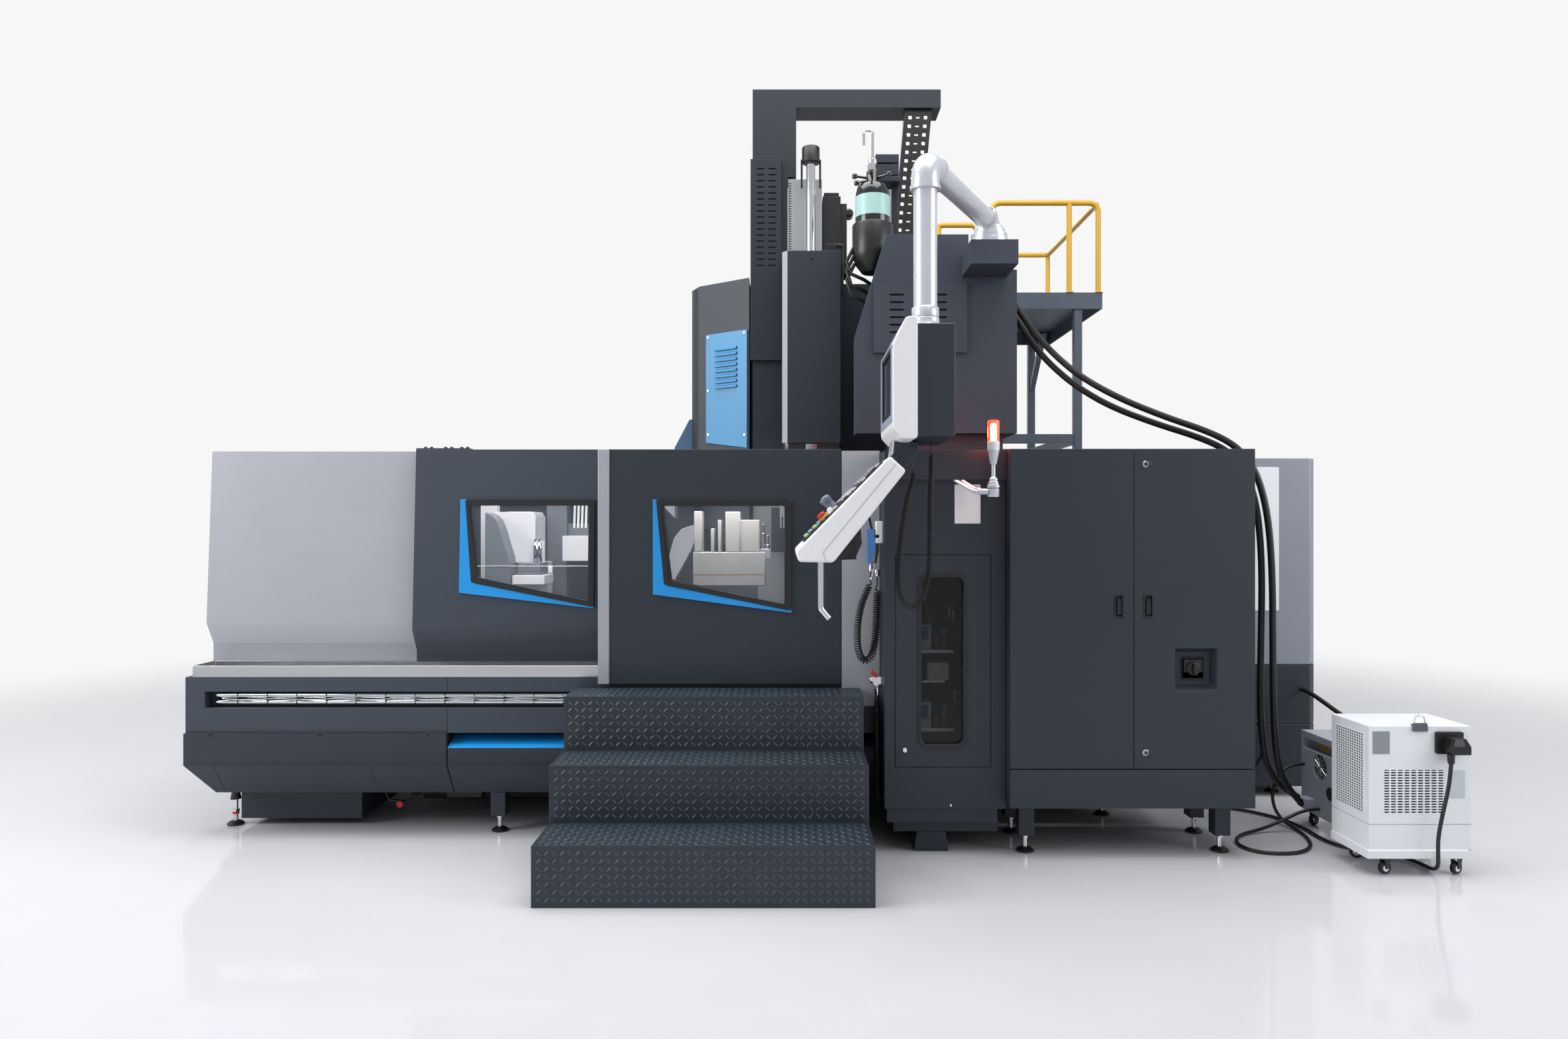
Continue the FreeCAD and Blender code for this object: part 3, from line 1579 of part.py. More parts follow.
pendant = slab(
    "pendant", "XZ", d.pend_near, d.pend_far,
    [(d.pend_face, d.pend_low + d.pend_slope), (d.pend_face + d.pend_slope, d.pend_low),
     (d.pend_mid, d.pend_low), (d.pend_mid, d.pend_top),
     (d.pend_face + d.pend_slope + 12, d.pend_top),
     (d.pend_face, d.pend_top - d.pend_crown - 40)],
)
pocket(
    pendant, "YZ", d.pend_face, d.pend_face + 12,
    rectangle(d.screen_near, d.screen_far, d.screen_low, d.screen_top),
)
pad(
    pendant, "YZ", d.pend_mid, d.pend_rear,
    rectangle(d.pend_near + 25, d.pend_far - 25, d.pend_low + 10, d.pend_top - 22),
)
pad(
    pendant, "XY", d.pend_top - 22, d.drop_low,
    (d.elbow_x, d.elbow_y, d.arm_radius + 16),
)
hinge_x, hinge_z = d.key_pivot_x, d.key_pivot_z
pad(
    pendant, "XZ", d.key_near + 200, d.key_far - 200,
    [(hinge_x - 29, d.pend_low + 1), (hinge_x - 19, hinge_z + 25), (hinge_x - 8, hinge_z - 7),
     (hinge_x + 11, hinge_z - 11), (hinge_x + 41, hinge_z), (hinge_x + 85, hinge_z + 25),
     (hinge_x + 85, d.pend_low + 1)],
)
pad(pendant, "XZ", d.key_near + 160, d.key_far - 160, (hinge_x, hinge_z, d.pin_radius))
slab(
    "pendant_screen", "YZ", d.pend_face + 12 - d.screen_out, d.pend_face + 12,
    rectangle(d.screen_near + 8, d.screen_far - 8, d.screen_low + 8, d.screen_top - 8),
)

# keyboard slab under the screen, hinged at its upper edge
keys = doc.addObject("PartDesign::Body", "keyboard_slab")
pad(
    keys, "XZ", d.key_near, d.key_far,
    [(d.key_tip, d.key_tip_z), (d.key_chin, d.key_low + 3), (d.key_heel, d.key_low),
     (d.key_back, d.key_back_z), (d.key_top, d.key_top_z)],
)
pad(
    keys, "XZ", d.key_near + 190, d.key_far - 200,
    [(d.key_heel + 28, d.key_low + 30), (d.key_heel + 122, d.key_low + 150),
     (d.key_heel + 130, d.key_low + 76), (d.key_heel + 100, d.key_low + 8),
     (d.key_heel + 45, d.key_low + 5)],
)
for near in (d.key_near + 164, d.key_far - 196):
    pad(
        keys, "XZ", near, near + 32,
        [(hinge_x - 35, hinge_z - 5), (hinge_x - 1, hinge_z - 35), (hinge_x + 17, hinge_z - 8),
         (hinge_x + 20, hinge_z + 8), (hinge_x + 8, hinge_z + 19), (hinge_x - 9, hinge_z + 17)],
    )
    pocket(
        keys, "XZ", near - 0.5, near + 32.5, (hinge_x, hinge_z, d.pin_radius + d.pin_gap),
    )

rise_x = SIZES["key_top"] - SIZES["key_tip"]
rise_z = SIZES["key_top_z"] - SIZES["key_tip_z"]
slope_length = math.hypot(rise_x, rise_z)
slope = Vector(rise_x / slope_length, 0, rise_z / slope_length)
outward = Vector(-slope.z, 0, slope.x)
tip = Vector(SIZES["key_tip"], 0, SIZES["key_tip_z"])
upright_turn = Rotation(Vector(0, 0, 1), outward)


def on_slope(name, along, across, low, high, radius):
    """A round part that stands on the sloping face of the keyboard slab."""
    item = doc.addObject("Part::Prism", name)
    item.Polygon = facets(radius)
    item.setExpression("Circumradius", (as_size(radius) * reach(facets(radius))).text)
    item.Height = high - low
    foot_point = tip + slope * along + outward * low + Vector(0, across, 0)
    item.Placement = Placement(foot_point, upright_turn)
    return item


stop_along, stop_y = 178, SIZES["key_near"] + 140
dial_along, dial_y = 240, SIZES["key_near"] + 250
collar_ring = on_slope("stop_collar", stop_along, stop_y, -2, 10, d.stop_radius + 5)
collar_bore = on_slope("stop_bore", stop_along, stop_y, 0, 11, d.stop_radius / 2)
collar = doc.addObject("Part::Cut", "stop_ring")
collar.Base = collar_ring
collar.Tool = collar_bore
low_z = SIZES["key_low"]
grip = feature("grab_bar", tube(
    "grab_bar", [(116, -2010, low_z + 6), (116, -2010, low_z - 205), (150, -2010, low_z - 245)],
    SIZES["bar_radius"], sides=10, bend=35,
))
fuse("keyboard", [keys, collar, grip])

button = on_slope("stop_head", stop_along, stop_y, 16, 16 + SIZES["stop_height"] - 14, d.stop_radius)
stem = on_slope("stop_stem", stop_along, stop_y, 6, 17, d.stop_radius / 2 - d.pin_gap)
fuse("emergency_stop", [button, stem])
dial = on_slope("dial", dial_along, dial_y, 0.5, 68, d.dial_radius - 6)
piece("override_knob", dial)

cord_y = SIZES["elbow_y"] - 7
box_low = SIZES["pend_low"] + 10
gland_x = SIZES["key_pivot_x"] + 63
gland_z = SIZES["key_pivot_z"] + 12.5
curl = [
    (585, box_low), (585, 1770), (580, 1660), (578, 1550), (578, 1440), (576, 1340),
    (562, 1235), (524, 1168), (476, 1168), (446, 1222), (441, 1320), (450, 1420), (464, 1530),
    (484, 1640), (gland_x + 27.2, gland_z - 47.8), (gland_x, gland_z),
]
sway = (0, 0, 2, 0, 2, 0, 2, 0, 2, 0, 2, 0, 2, 0, 0, 0)
pendant_points = [(x, cord_y + y, z) for (x, z), y in zip(curl, sway)]
piece("pendant_cord", feature("pendant_cord", tube(
    "pendant_cord", pendant_points, SIZES["curl_radius"], quiet=False,
)))

# ---------------------------------------------------------------- air gun, valve and their hose

side = d.air_left
gun = doc.addObject("PartDesign::Body", "air_gun")
pad(
    gun, "XZ", d.air_front + 70, d.air_front + 130,
    [(side - 34, 1430), (side, 1430), (side, 1532), (side - 34, 1532)],
)
pad(
    gun, "XZ", d.air_front + 88, d.air_front + 112,
    [(side - 76, 1500), (side - 70, 1410), (side - 66, 1300), (side - 40, 1300),
     (side - 33, 1400), (side - 33, 1520), (side - 60, 1524)],
)
valve = doc.addObject("PartDesign::Body", "air_valve_body")
pad(
    valve, "XZ", d.air_front + 80, d.air_front + 120,
    rectangle(side - 44, side, 770, 806),
)
pad(valve, "XY", 716, 770, (side - 24, d.air_front + 100, 13))
pad(
    valve, "XZ", d.air_front + 72, d.air_front + 81,
    [(side - 60, 828), (side - 30, 800), (side - 20, 812), (side - 52, 840)],
)
inlet = block(
    "air_inlet", (side - 38, side), (d.air_front + 117, d.air_front + 153), (1272, 1306),
)
group("air_fittings", [gun, valve, inlet])

gun_x = SIZES["air_left"]
gun_y = SIZES["air_front"] + 100
drop_y = SIZES["air_front"] + 135
air_points = [
    (gun_x - 19, drop_y, 1272), (gun_x - 19, drop_y, 1195), (gun_x - 23, drop_y, 1110),
    (gun_x - 25, drop_y, 1025), (gun_x - 31, drop_y - 5, 950), (gun_x - 50, drop_y - 15, 888),
    (gun_x - 84, drop_y - 25, 872), (gun_x - 112, drop_y - 32, 915),
    (gun_x - 118, drop_y - 35, 1000), (gun_x - 110, drop_y - 36, 1090),
    (gun_x - 88, gun_y, 1170), (gun_x - 63, gun_y, 1220), (gun_x - 53, gun_y, 1262),
    (gun_x - 53, gun_y, 1300),
]
piece("air_hose", feature("air_hose", tube(
    "air_hose", air_points, SIZES["air_curl_radius"], quiet=False,
)))

# ---------------------------------------------------------------- hoses to the service unit

unit_x = SIZES["unit_left"]
hose_start = SIZES["big_right"]
plug_end = unit_x - 48
hose_a = [
    (hose_start, -1000, 2676), (1228, -1010, 2592), (1290, -1026, 2502), (1372, -1050, 2400),
    (1490, -1100, 2280), (1671, -1155, 2162), (1890, -1205, 2060), (2080, -1250, 1986),
    (2200, -1285, 1915), (2276, -1308, 1818), (2320, -1322, 1690), (2350, -1328, 1520),
    (2368, -1326, 1270), (2373, -1320, 940), (2383, -1305, 620), (2402, -1288, 420),
    (2432, -1268, 290), (2488, -1250, 190), (plug_end, -1240, 116),
]
hose_b = [
    (hose_start, -960, 2640), (1224, -966, 2550), (1286, -980, 2456), (1370, -1006, 2350),
    (1480, -1050, 2240), (1640, -1096, 2130), (1850, -1150, 2036), (2060, -1200, 1960),
    (2184, -1240, 1892), (2256, -1266, 1796), (2298, -1282, 1670), (2322, -1290, 1510),
    (2336, -1288, 1260), (2334, -1280, 940), (2338, -1262, 620), (2360, -1242, 420),
    (2396, -1226, 290), (2462, -1210, 196), (plug_end, -1203, 140),
]
sideways = Vector(1, 0, 0)
upward = Vector(0, 0, 1)
piece("coolant_hose_a", feature("coolant_hose_a", tube(
    "coolant_hose_a", hose_a, SIZES["hose_radius"], sides=6, quiet=False,
    meets=(sideways, sideways),
)))
piece("coolant_hose_b", feature("coolant_hose_b", tube(
    "coolant_hose_b", hose_b, SIZES["hose_radius"], sides=6, quiet=False,
    meets=(sideways, sideways),
)))

# ---------------------------------------------------------------- chiller

chill = new_body("chiller")
pad(
    chill, "XZ", d.chill_front, d.chill_back,
    rectangle(d.chill_left, d.chill_right, d.chill_low + d.skirt_height, d.chill_top),
)
pad(
    chill, "XY", d.chill_low, d.chill_low + d.skirt_height,
    rectangle(d.chill_left - 8, d.chill_right - 12, d.chill_front - 8, d.chill_back - 6),
)
fin_step = (d.grille_right - d.grille_left) / d.fin_count
columns = []
for i in range(SIZES["fin_count"]):
    left = d.grille_left + fin_step * i
    columns.append(rectangle(left, left + fin_step * 0.74, d.grille_low, d.grille_top))
pocket(chill, "XZ", d.chill_front, d.chill_front + d.grille_depth, *columns)
chill_front = SIZES["chill_front"]

plug_left = d.chill_right - 157
socket_low = d.chill_top - 118
plug = [
    block("socket_box", (plug_left, plug_left + 118), (d.chill_front - 22, d.chill_front),
          (socket_low, socket_low + 95)),
    block("plug_body", (plug_left + 24, plug_left + 118),
          (d.chill_front - 62, d.chill_front - 22), (socket_low + 6, socket_low + 76)),
    rod("plug_relief", "z", (plug_left + 43, d.chill_front - 42), 14,
        socket_low - 34, socket_low + 6),
]
fuse("chiller_plug", plug)
plug_x = SIZES["chill_right"] - 157 + 43
plug_z = SIZES["chill_top"] - 118 - 34
cord_r = SIZES["cord_radius"]
cab_side = SIZES["cab_right"]
chiller_cord = [
    (plug_x, chill_front - 42, plug_z), (plug_x - 5, chill_front - 43, plug_z - 62),
    (plug_x - 20, chill_front - 44, plug_z - 140), (plug_x - 42, chill_front - 45, 266),
    (plug_x - 56, chill_front - 42, 176), (plug_x - 50, chill_front - 34, 104),
    (plug_x - 34, chill_front - 12, 48), (plug_x - 18, chill_front + 44, 14),
    (plug_x - 16, chill_front + 120, 11), (2772, -1740, 11), (2728, -1672, 11),
    (2660, -1630, 11), (2592, -1590, 11), (2548, -1522, 11), (2536, -1432, 11),
    (2542, -1338, 12), (2534, -1240, 11), (2508, -1140, 11), (2452, -1050, 11),
    (2385, -975, 11), (2300, -928, 11), (2212, -920, 20), (2136, -952, 46),
    (2104, -1022, 88), (2136, -1088, 134), (2226, -1116, 172), (2325, -1116, 216),
    (2404, -1114, 290), (2436, -1118, 388), (2402, -1138, 482), (2322, -1176, 552),
    (2212, -1232, 596), (cab_side, -1290, 620),
]
piece("chiller_cord", feature("chiller_cord", tube(
    "chiller_cord", chiller_cord, cord_r, sides=5, quiet=False, chord=0.6,
    meets=(upward, sideways),
)))
hose_end = SIZES["end_right"] - 90
hose_face = SIZES["end_front"]
back_hose = [
    (hose_end, hose_face, 600), (hose_end, hose_face - 60, 600), (hose_end + 8, -870, 572),
    (hose_end + 14, -1010, 536), (hose_end + 2, -1170, 512), (hose_end - 28, -1340, 506),
    (hose_end - 56, -1480, 510), (hose_end - 68, -1590, 524),
    (hose_end - 68, SIZES["chill_back"], 524),
]
piece("chiller_hose", feature("chiller_hose", tube(
    "chiller_hose", back_hose, 12, sides=6, quiet=False,
)))

# ---------------------------------------------------------------- service unit and casters

unit = slab(
    "service_unit", "XZ", d.unit_front, d.unit_back,
    rectangle(d.unit_left, d.unit_right, d.unit_low, d.unit_top),
)
pocket(
    unit, "YZ", d.unit_left, d.unit_left + 40,
    rectangle(d.unit_front + 20, d.unit_back - 14, d.unit_slot_low + 20, d.unit_slot_top),
)
fan_y = d.unit_back - 173
pocket(unit, "YZ", d.unit_left, d.unit_left + 8, (fan_y, d.unit_low + 248, d.fan_radius))
pocket(unit, "YZ", d.unit_left, d.unit_left + 30, (d.unit_back - 266, d.unit_low + 140, 31))
pad(
    unit, "YZ", d.unit_left - 48, d.unit_left,
    rectangle(d.unit_back - 125, d.unit_back - 50, d.unit_low + 28, d.unit_low + 76),
)

caster_parts = []


def caster(x, y, top):
    """A wheel in a fork; the wheel's lowest point is on the floor."""
    r = d.caster_radius
    half = d.caster_width / 2
    caster_parts.append(rod("caster_wheel", "x", (y, r), r, x - half, x + half, True, 10))
    caster_parts.append(block(
        "caster_fork", (x - half - 5, x + half + 5), (y + 2, y + 22), (r, top),
    ))


for x in (d.chill_left + 89, d.chill_right - 41):
    for y in (d.chill_front + 35, d.chill_back - 40):
        caster(x, y, d.chill_low)
for x in (d.unit_left + 32, d.unit_right - 36):
    for y in (d.unit_front + 60, d.unit_back - 60):
        caster(x, y, d.unit_low)
fuse("casters", caster_parts)

unit_y = SIZES["unit_back"]
loop = [
    (unit_x, unit_y - 30, 300), (unit_x - 56, unit_y - 30, 300), (unit_x - 130, unit_y - 42, 262),
    (unit_x - 172, unit_y - 42, 165), (unit_x - 163, unit_y - 48, 75),
    (unit_x - 130, unit_y - 90, 20), (unit_x - 112, unit_y - 190, cord_r + 1),
    (unit_x - 125, unit_y - 290, cord_r + 1), (unit_x - 165, unit_y - 410, cord_r + 1),
    (unit_x - 258, unit_y - 510, cord_r + 1), (unit_x - 387, unit_y - 532, cord_r + 1),
    (unit_x - 493, unit_y - 485, cord_r + 1), (unit_x - 510, unit_y - 370, cord_r + 1),
    (unit_x - 434, unit_y - 250, cord_r + 1), (unit_x - 300, unit_y - 190, 16),
    (unit_x - 180, unit_y - 176, 58), (unit_x - 70, unit_y - 170, 110), (unit_x, unit_y - 170, 110),
]
piece("unit_cord", feature("unit_cord", tube(
    "unit_cord", loop, cord_r, sides=5, quiet=False, chord=0.6,
)))

# ---------------------------------------------------------------- check and write

doc.recompute()
faults = []
for item in doc.Objects:
    if "Invalid" in item.State or "Error" in item.State:
        faults.append(f"{item.Name}: {item.State}")
    if item.TypeId == "PartDesign::Pocket" and not item.Shape.isNull():
        before = item.BaseFeature.Shape.Volume
        if item.Shape.Volume > before - 1:
            faults.append(f"{item.Name} cuts nothing")
for name, item in pieces.items():
    if item.Shape.isNull() or not item.Shape.isValid():
        faults.append(f"{name}: bad shape")
    elif not item.Shape.Solids:
        faults.append(f"{name}: no solid")
if faults:
    raise RuntimeError("; ".join(faults))

for name, item in pieces.items():
    item.Shape.exportStep(f"parts/{name}.step")
print(f"wrote {len(pieces)} pieces")
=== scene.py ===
import math
import bmesh
import bpy
from mathutils import Matrix, Vector


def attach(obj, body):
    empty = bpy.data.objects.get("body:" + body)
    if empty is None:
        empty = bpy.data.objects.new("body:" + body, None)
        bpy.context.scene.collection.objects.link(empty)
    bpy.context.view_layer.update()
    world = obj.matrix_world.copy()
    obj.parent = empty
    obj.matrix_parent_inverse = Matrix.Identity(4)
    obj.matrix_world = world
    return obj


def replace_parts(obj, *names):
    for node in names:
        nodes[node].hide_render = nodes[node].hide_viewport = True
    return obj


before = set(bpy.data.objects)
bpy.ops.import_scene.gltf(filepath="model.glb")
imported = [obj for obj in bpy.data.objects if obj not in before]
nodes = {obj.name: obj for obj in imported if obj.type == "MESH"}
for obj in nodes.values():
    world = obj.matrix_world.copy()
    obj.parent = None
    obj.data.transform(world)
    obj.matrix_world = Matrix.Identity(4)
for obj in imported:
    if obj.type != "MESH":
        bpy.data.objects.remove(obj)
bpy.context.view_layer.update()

# ---- materials


def linear(code):
    """A colour given as #rrggbb, in the linear values that shaders take."""
    values = []
    for i in (1, 3, 5):
        c = int(code[i:i + 2], 16) / 255
        values.append(c / 12.92 if c <= 0.04045 else ((c + 0.055) / 1.055) ** 2.4)
    return (*values, 1)


def shaded(colour, factor):
    """A colour made lighter or darker, still opaque."""
    return tuple(min(1, c * factor) for c in colour[:3]) + (1,)


def node(tree, kind, **values):
    """A new shader node with some inputs set; _ stands for the space in an input's name."""
    made = tree.nodes.new("ShaderNode" + kind)
    for name, value in values.items():
        made.inputs[name.replace("_", " ")].default_value = value
    return made


def surface(name, code, rough=0.45, metal=0.0, grain=420, bump=0.1, vary=0.06, streak=(1, 1, 1),
        coat=0.0, patch=3.0, height=0.0004, rough_vary=0.08):
    """A finish with slow colour patches, a fine grain in the bump and an uneven gloss."""
    material = bpy.data.materials.new(name)
    material.use_nodes = True
    tree = material.node_tree
    shader = tree.nodes["Principled BSDF"]
    for key, value in (("Metallic", metal), ("Coat Weight", coat), ("Coat Roughness", 0.15)):
        shader.inputs[key].default_value = value
    place = node(tree, "TexCoord")
    stretch = node(tree, "Mapping", Scale=streak)
    slow = node(tree, "TexNoise", Scale=patch, Detail=5)
    tint = node(tree, "ValToRGB")
    for end, at, factor in zip(tint.color_ramp.elements, (0.3, 0.7), (1 - vary, 1 + vary)):
        end.position = at
        end.color = shaded(linear(code), factor)
    fine = node(tree, "TexNoise", Scale=grain, Detail=3)
    gloss = node(tree, "MapRange", To_Min=max(0.02, rough - rough_vary),
        To_Max=min(1, rough + rough_vary))
    relief = node(tree, "Bump", Strength=bump, Distance=height)
    for start, output, end, entry in ((place, "Object", stretch, "Vector"),
            (stretch, "Vector", slow, "Vector"), (slow, "Fac", tint, "Fac"),
            (tint, "Color", shader, "Base Color"), (stretch, "Vector", fine, "Vector"),
            (fine, "Fac", gloss, "Value"), (gloss, "Result", shader, "Roughness"),
            (fine, "Fac", relief, "Height"), (relief, "Normal", shader, "Normal")):
        tree.links.new(start.outputs[output], end.inputs[entry])
    return material


def clear(name, code, rough=0.03, alpha=0.25, glow=0.0):
    """A clear pane or lens: mostly see-through, with a tint and a faint haze in it."""
    material = surface(name, code, rough=rough, grain=40, bump=0.02, vary=0.03, rough_vary=0.02)
    shader = material.node_tree.nodes["Principled BSDF"]
    shader.inputs["Alpha"].default_value = alpha
    shader.inputs["Emission Color"].default_value = linear(code)
    shader.inputs["Emission Strength"].default_value = glow
    material.surface_render_method = "BLENDED"
    return material


CHARCOAL = surface("charcoal_paint", "#232a34", 0.5, bump=0.28, vary=0.05)
SLATE = surface("slate_paint", "#262d37", 0.52, grain=380, bump=0.3, vary=0.07)
# The charcoal paint made lighter for the covers that catch more light: painted light.
CHARCOAL_PAINTED_LIGHT = surface("charcoal_painted_light", "#343c48", 0.5, bump=0.28, vary=0.05)
# The charcoal paint made darker for the bridge frame and the end housing's lower part, which sit in
# shade: painted shade.
CHARCOAL_PAINTED_SHADE = surface("charcoal_painted_shade", "#161d28", 0.5, bump=0.28, vary=0.05)
# The platform's charcoal made lighter where its deck faces up into the light: painted light.
DECK = surface("deck_painted_light", "#414a57", 0.5, grain=380, bump=0.3, vary=0.07)
GREY = surface("light_grey_paint", "#a3a5ad", 0.44, bump=0.2, vary=0.025)
BLUE = surface("blue_paint", "#1c92dc", 0.35, bump=0.15, vary=0.04)
BLACK = surface("black_paint", "#17181b", 0.4, bump=0.15, vary=0.08)
TREAD = surface("tread_plate", "#232c35", 0.42, grain=240, bump=0.3, vary=0.12, patch=6)
STEEL = surface("brushed_stainless", "#d2d3d6", 0.24, 1.0, grain=60, bump=0.015, vary=0.1,
    streak=(0.3, 6, 6), patch=1.2)
CHROME = surface("polished_chrome", "#dfe1e4", 0.09, 1.0, grain=30, bump=0.02, vary=0.03,
    rough_vary=0.03)
MACHINED = surface("machined_steel", "#9ea1a6", 0.33, 0.9, grain=140, bump=0.08, vary=0.07,
    streak=(1, 12, 1))
IRON = surface("cast_iron", "#5b6067", 0.6, 0.3, grain=120, bump=0.35, vary=0.12)
SILVER = surface("silver_paint", "#d3d6dc", 0.26, 0.45, grain=500, bump=0.08, vary=0.03)
WHITE = surface("white_plastic", "#f0f0f2", 0.34, grain=600, bump=0.08, vary=0.02)
PLATE = surface("white_enamel", "#e6e8ec", 0.3, vary=0.02)
UNIT = surface("unit_grey", "#a3a8b1", 0.4, bump=0.16, vary=0.04)
YELLOW = surface("yellow_paint", "#c69b2a", 0.36, bump=0.14, vary=0.05)
PLASTIC = surface("black_plastic", "#17181a", 0.36, grain=500, bump=0.14, vary=0.1)
RUBBER = surface("black_rubber", "#131416", 0.42, grain=260, bump=0.16, vary=0.12)
RED = surface("red_plastic", "#c8281f", 0.3, grain=300, bump=0.05)
GREEN = surface("green_plastic", "#2f9a58", 0.3, grain=300, bump=0.05)
AMBER = clear("amber_bowl", "#a4562a", 0.15, 0.75)
# Near black for the panel seams, and for the sheets set behind slots, grilles, meshes, the fan and
# the inlet, standing in for the shade inside them: painted shade.
DARK = surface("dark_seams_and_painted_shade", "#121316", 0.7, grain=200, vary=0.1)
PANE = clear("window_pane", "#7c848f", 0.02, 0.16)
SMOKED = clear("smoked_pane", "#16181b", 0.04, 0.42)
SCREEN = surface("dark_screen", "#3a4048", 0.12, grain=60, bump=0.01, vary=0.12, patch=5, coat=0.6)
LENS = clear("red_lens", "#ff3a22", 0.12, 0.8, glow=3.0)
HOT = clear("lamp_core", "#ffc0a8", 0.3, 1.0, glow=14.0)

GUIDE = surface("ground_guide", "#a2a4a6", 0.4, 0.35, grain=160, bump=0.06, vary=0.05,
    streak=(12, 12, 0.5))

BY_NODE = {GUIDE: "column",
    CHARCOAL: "lower_covers front_door control_cabinet cabinet_door_left cabinet_door_right "
    "air_cabinet air_cabinet_door column_cover head_cover rear_enclosure",
    CHARCOAL_PAINTED_LIGHT: "base_cover window_cover front_cover", CHARCOAL_PAINTED_SHADE: "bridge_frame", GREY: "end_cover fixed_panel",
    TREAD: "steps", DECK: "platform", STEEL: "gutter_rim", IRON: "bed saddle",
    MACHINED: "table spindle", BLACK: "left_window_frame door_window_frame head",
    PANE: "left_window_glass door_window_glass", SMOKED: "air_cabinet_window", PLATE: "chiller",
    UNIT: "service_unit", PLASTIC: "cable_chain", SCREEN: "pendant_screen", WHITE: "tool_changer"}
for material, names in BY_NODE.items():
    for name in names.split():
        for place in nodes[name].material_slots:
            place.material = material

# ---- softened edges on the frame


def soften(item, width, steps=2, angle=38):
    """A small bevel along the edges that turn by more than an angle."""
    edge = item.modifiers.new("edge", "BEVEL")
    edge.width, edge.segments = width, steps
    edge.limit_method, edge.angle_limit = "ANGLE", math.radians(angle)


def linked(name, data):
    """A new object with this data, in the scene."""
    item = bpy.data.objects.new(name, data)
    bpy.context.scene.collection.objects.link(item)
    return item


def area_light(name, place, turn, size, power):
    """A rectangular lamp, turned by Euler angles."""
    data = bpy.data.lights.new(name, "AREA")
    data.shape = "RECTANGLE"
    data.size, data.size_y = size
    data.energy = power
    lamp = linked(name, data)
    lamp.location, lamp.rotation_euler = place, turn


SEAM, FRAME_EDGE, FRAME_ANGLE = 0.00002, 0.0025, 40
CLEAR_NODES = {"left_window_glass", "door_window_glass", "air_cabinet_window", "lamp_lens"}
for name, item in nodes.items():
    if name in CLEAR_NODES:
        continue
    item.modifiers.new("weld", "WELD").merge_threshold = SEAM
    soften(item, FRAME_EDGE, 2, FRAME_ANGLE)
    item.modifiers.new("normal", "WEIGHTED_NORMAL").weight = 80

# ---- shape helpers

AXES = {"x": (1, 2, 0), "y": (0, 2, 1), "z": (0, 1, 2)}


def spot(axis, u, v, w):
    """The point that has u and v across an axis and w along it."""
    one, two, along = AXES[axis]
    point = [0, 0, 0]
    point[one] = u
    point[two] = v
    point[along] = w
    return Vector(point)


def circle(count):
    """The cosine and sine of evenly spaced angles."""
    return [(math.cos(a), math.sin(a)) for a in (math.tau * k / count for k in range(count))]


class Shape:
    """One mesh made of several solids, in metres in the row frame."""

    def __init__(self):
        self.bm = bmesh.new()

    def skin(self, rings, closed=True, capped=True):
        loops = [[self.bm.verts.new(p) for p in ring] for ring in rings]
        for one, two in zip(loops, loops[1:]):
            count = len(one)
            for k in range(count if closed else count - 1):
                n = (k + 1) % count
                self.bm.faces.new((one[k], one[n], two[n], two[k]))
        if capped:
            self.bm.faces.new(loops[0][::-1])
            self.bm.faces.new(loops[-1])
        return self

    def prism(self, outline, axis, start, stop):
        return self.skin([[spot(axis, u, v, w) for u, v in outline] for w in (start, stop)])

    def block(self, *boxes):
        """Boxes given by two corners: left, near, low, right, far, high."""
        for left, near, low, right, far, high in boxes:
            outline = [(left, near), (right, near), (right, far), (left, far)]
            self.prism(outline, "z", low, high)
        return self

    def turn(self, axis, u, v, rings, sides=28):
        """A round solid on the axis through u and v: rings are (radius, place along it)."""
        return self.skin([[spot(axis, u + radius * c, v + radius * s, w) for c, s in circle(sides)]
            for radius, w in rings])

    def pipe(self, points, radius, sides=14):
        """A round bar along points, which are close together where it bends."""
        points = [Vector(p) for p in points]
        ahead = (points[1] - points[0]).normalized()
        side = ahead.orthogonal().normalized()
        loops = []
        for i, point in enumerate(points):
            before = points[max(0, i - 1)]
            after = points[min(len(points) - 1, i + 1)]
            way = (after - before).normalized()
            side = (side - way * side.dot(way)).normalized()
            up = way.cross(side)
            size = radius[i] if isinstance(radius, (list, tuple)) else radius
            loops.append([point + (side * c + up * s) * size for c, s in circle(sides)])
        return self.skin(loops)

    def moved(self, matrix, start=0):
        self.bm.verts.ensure_lookup_table()
        for vert in self.bm.verts[start:]:
            vert.co = matrix @ vert.co
        return self

    def mesh(self, name):
        """The shape as a mesh with its faces turned outwards; the shape is used up."""
        bmesh.ops.recalc_face_normals(self.bm, faces=self.bm.faces)
        mesh = bpy.data.meshes.new(name)
        self.bm.to_mesh(mesh)
        self.bm.free()
        return mesh

    def done(self, name, material, body="machine", bevel=0.0, smooth=38, steps=2):
        """The shape as a piece of the scene that rides on a body."""
        mesh = self.mesh(name)
        mesh.materials.append(material)
        for face in mesh.polygons:
            face.use_smooth = True
        mesh.set_sharp_from_angle(angle=math.radians(smooth))
        item = linked(name, mesh)
        if bevel:
            soften(item, bevel, steps)
        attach(item, body)
        return item


def rounded(left, right, low, high, radius, count=6):
    """A rectangle with round corners."""
    points = []
    corners = [(right - radius, low + radius, -90), (right - radius, high - radius, 0),
        (left + radius, high - radius, 90), (left + radius, low + radius, 180)]
    for u, v, start in corners:
        for k in range(count + 1):
            angle = math.radians(start + 90 * k / count)
            points.append((u + radius * math.cos(angle), v + radius * math.sin(angle)))
    return points


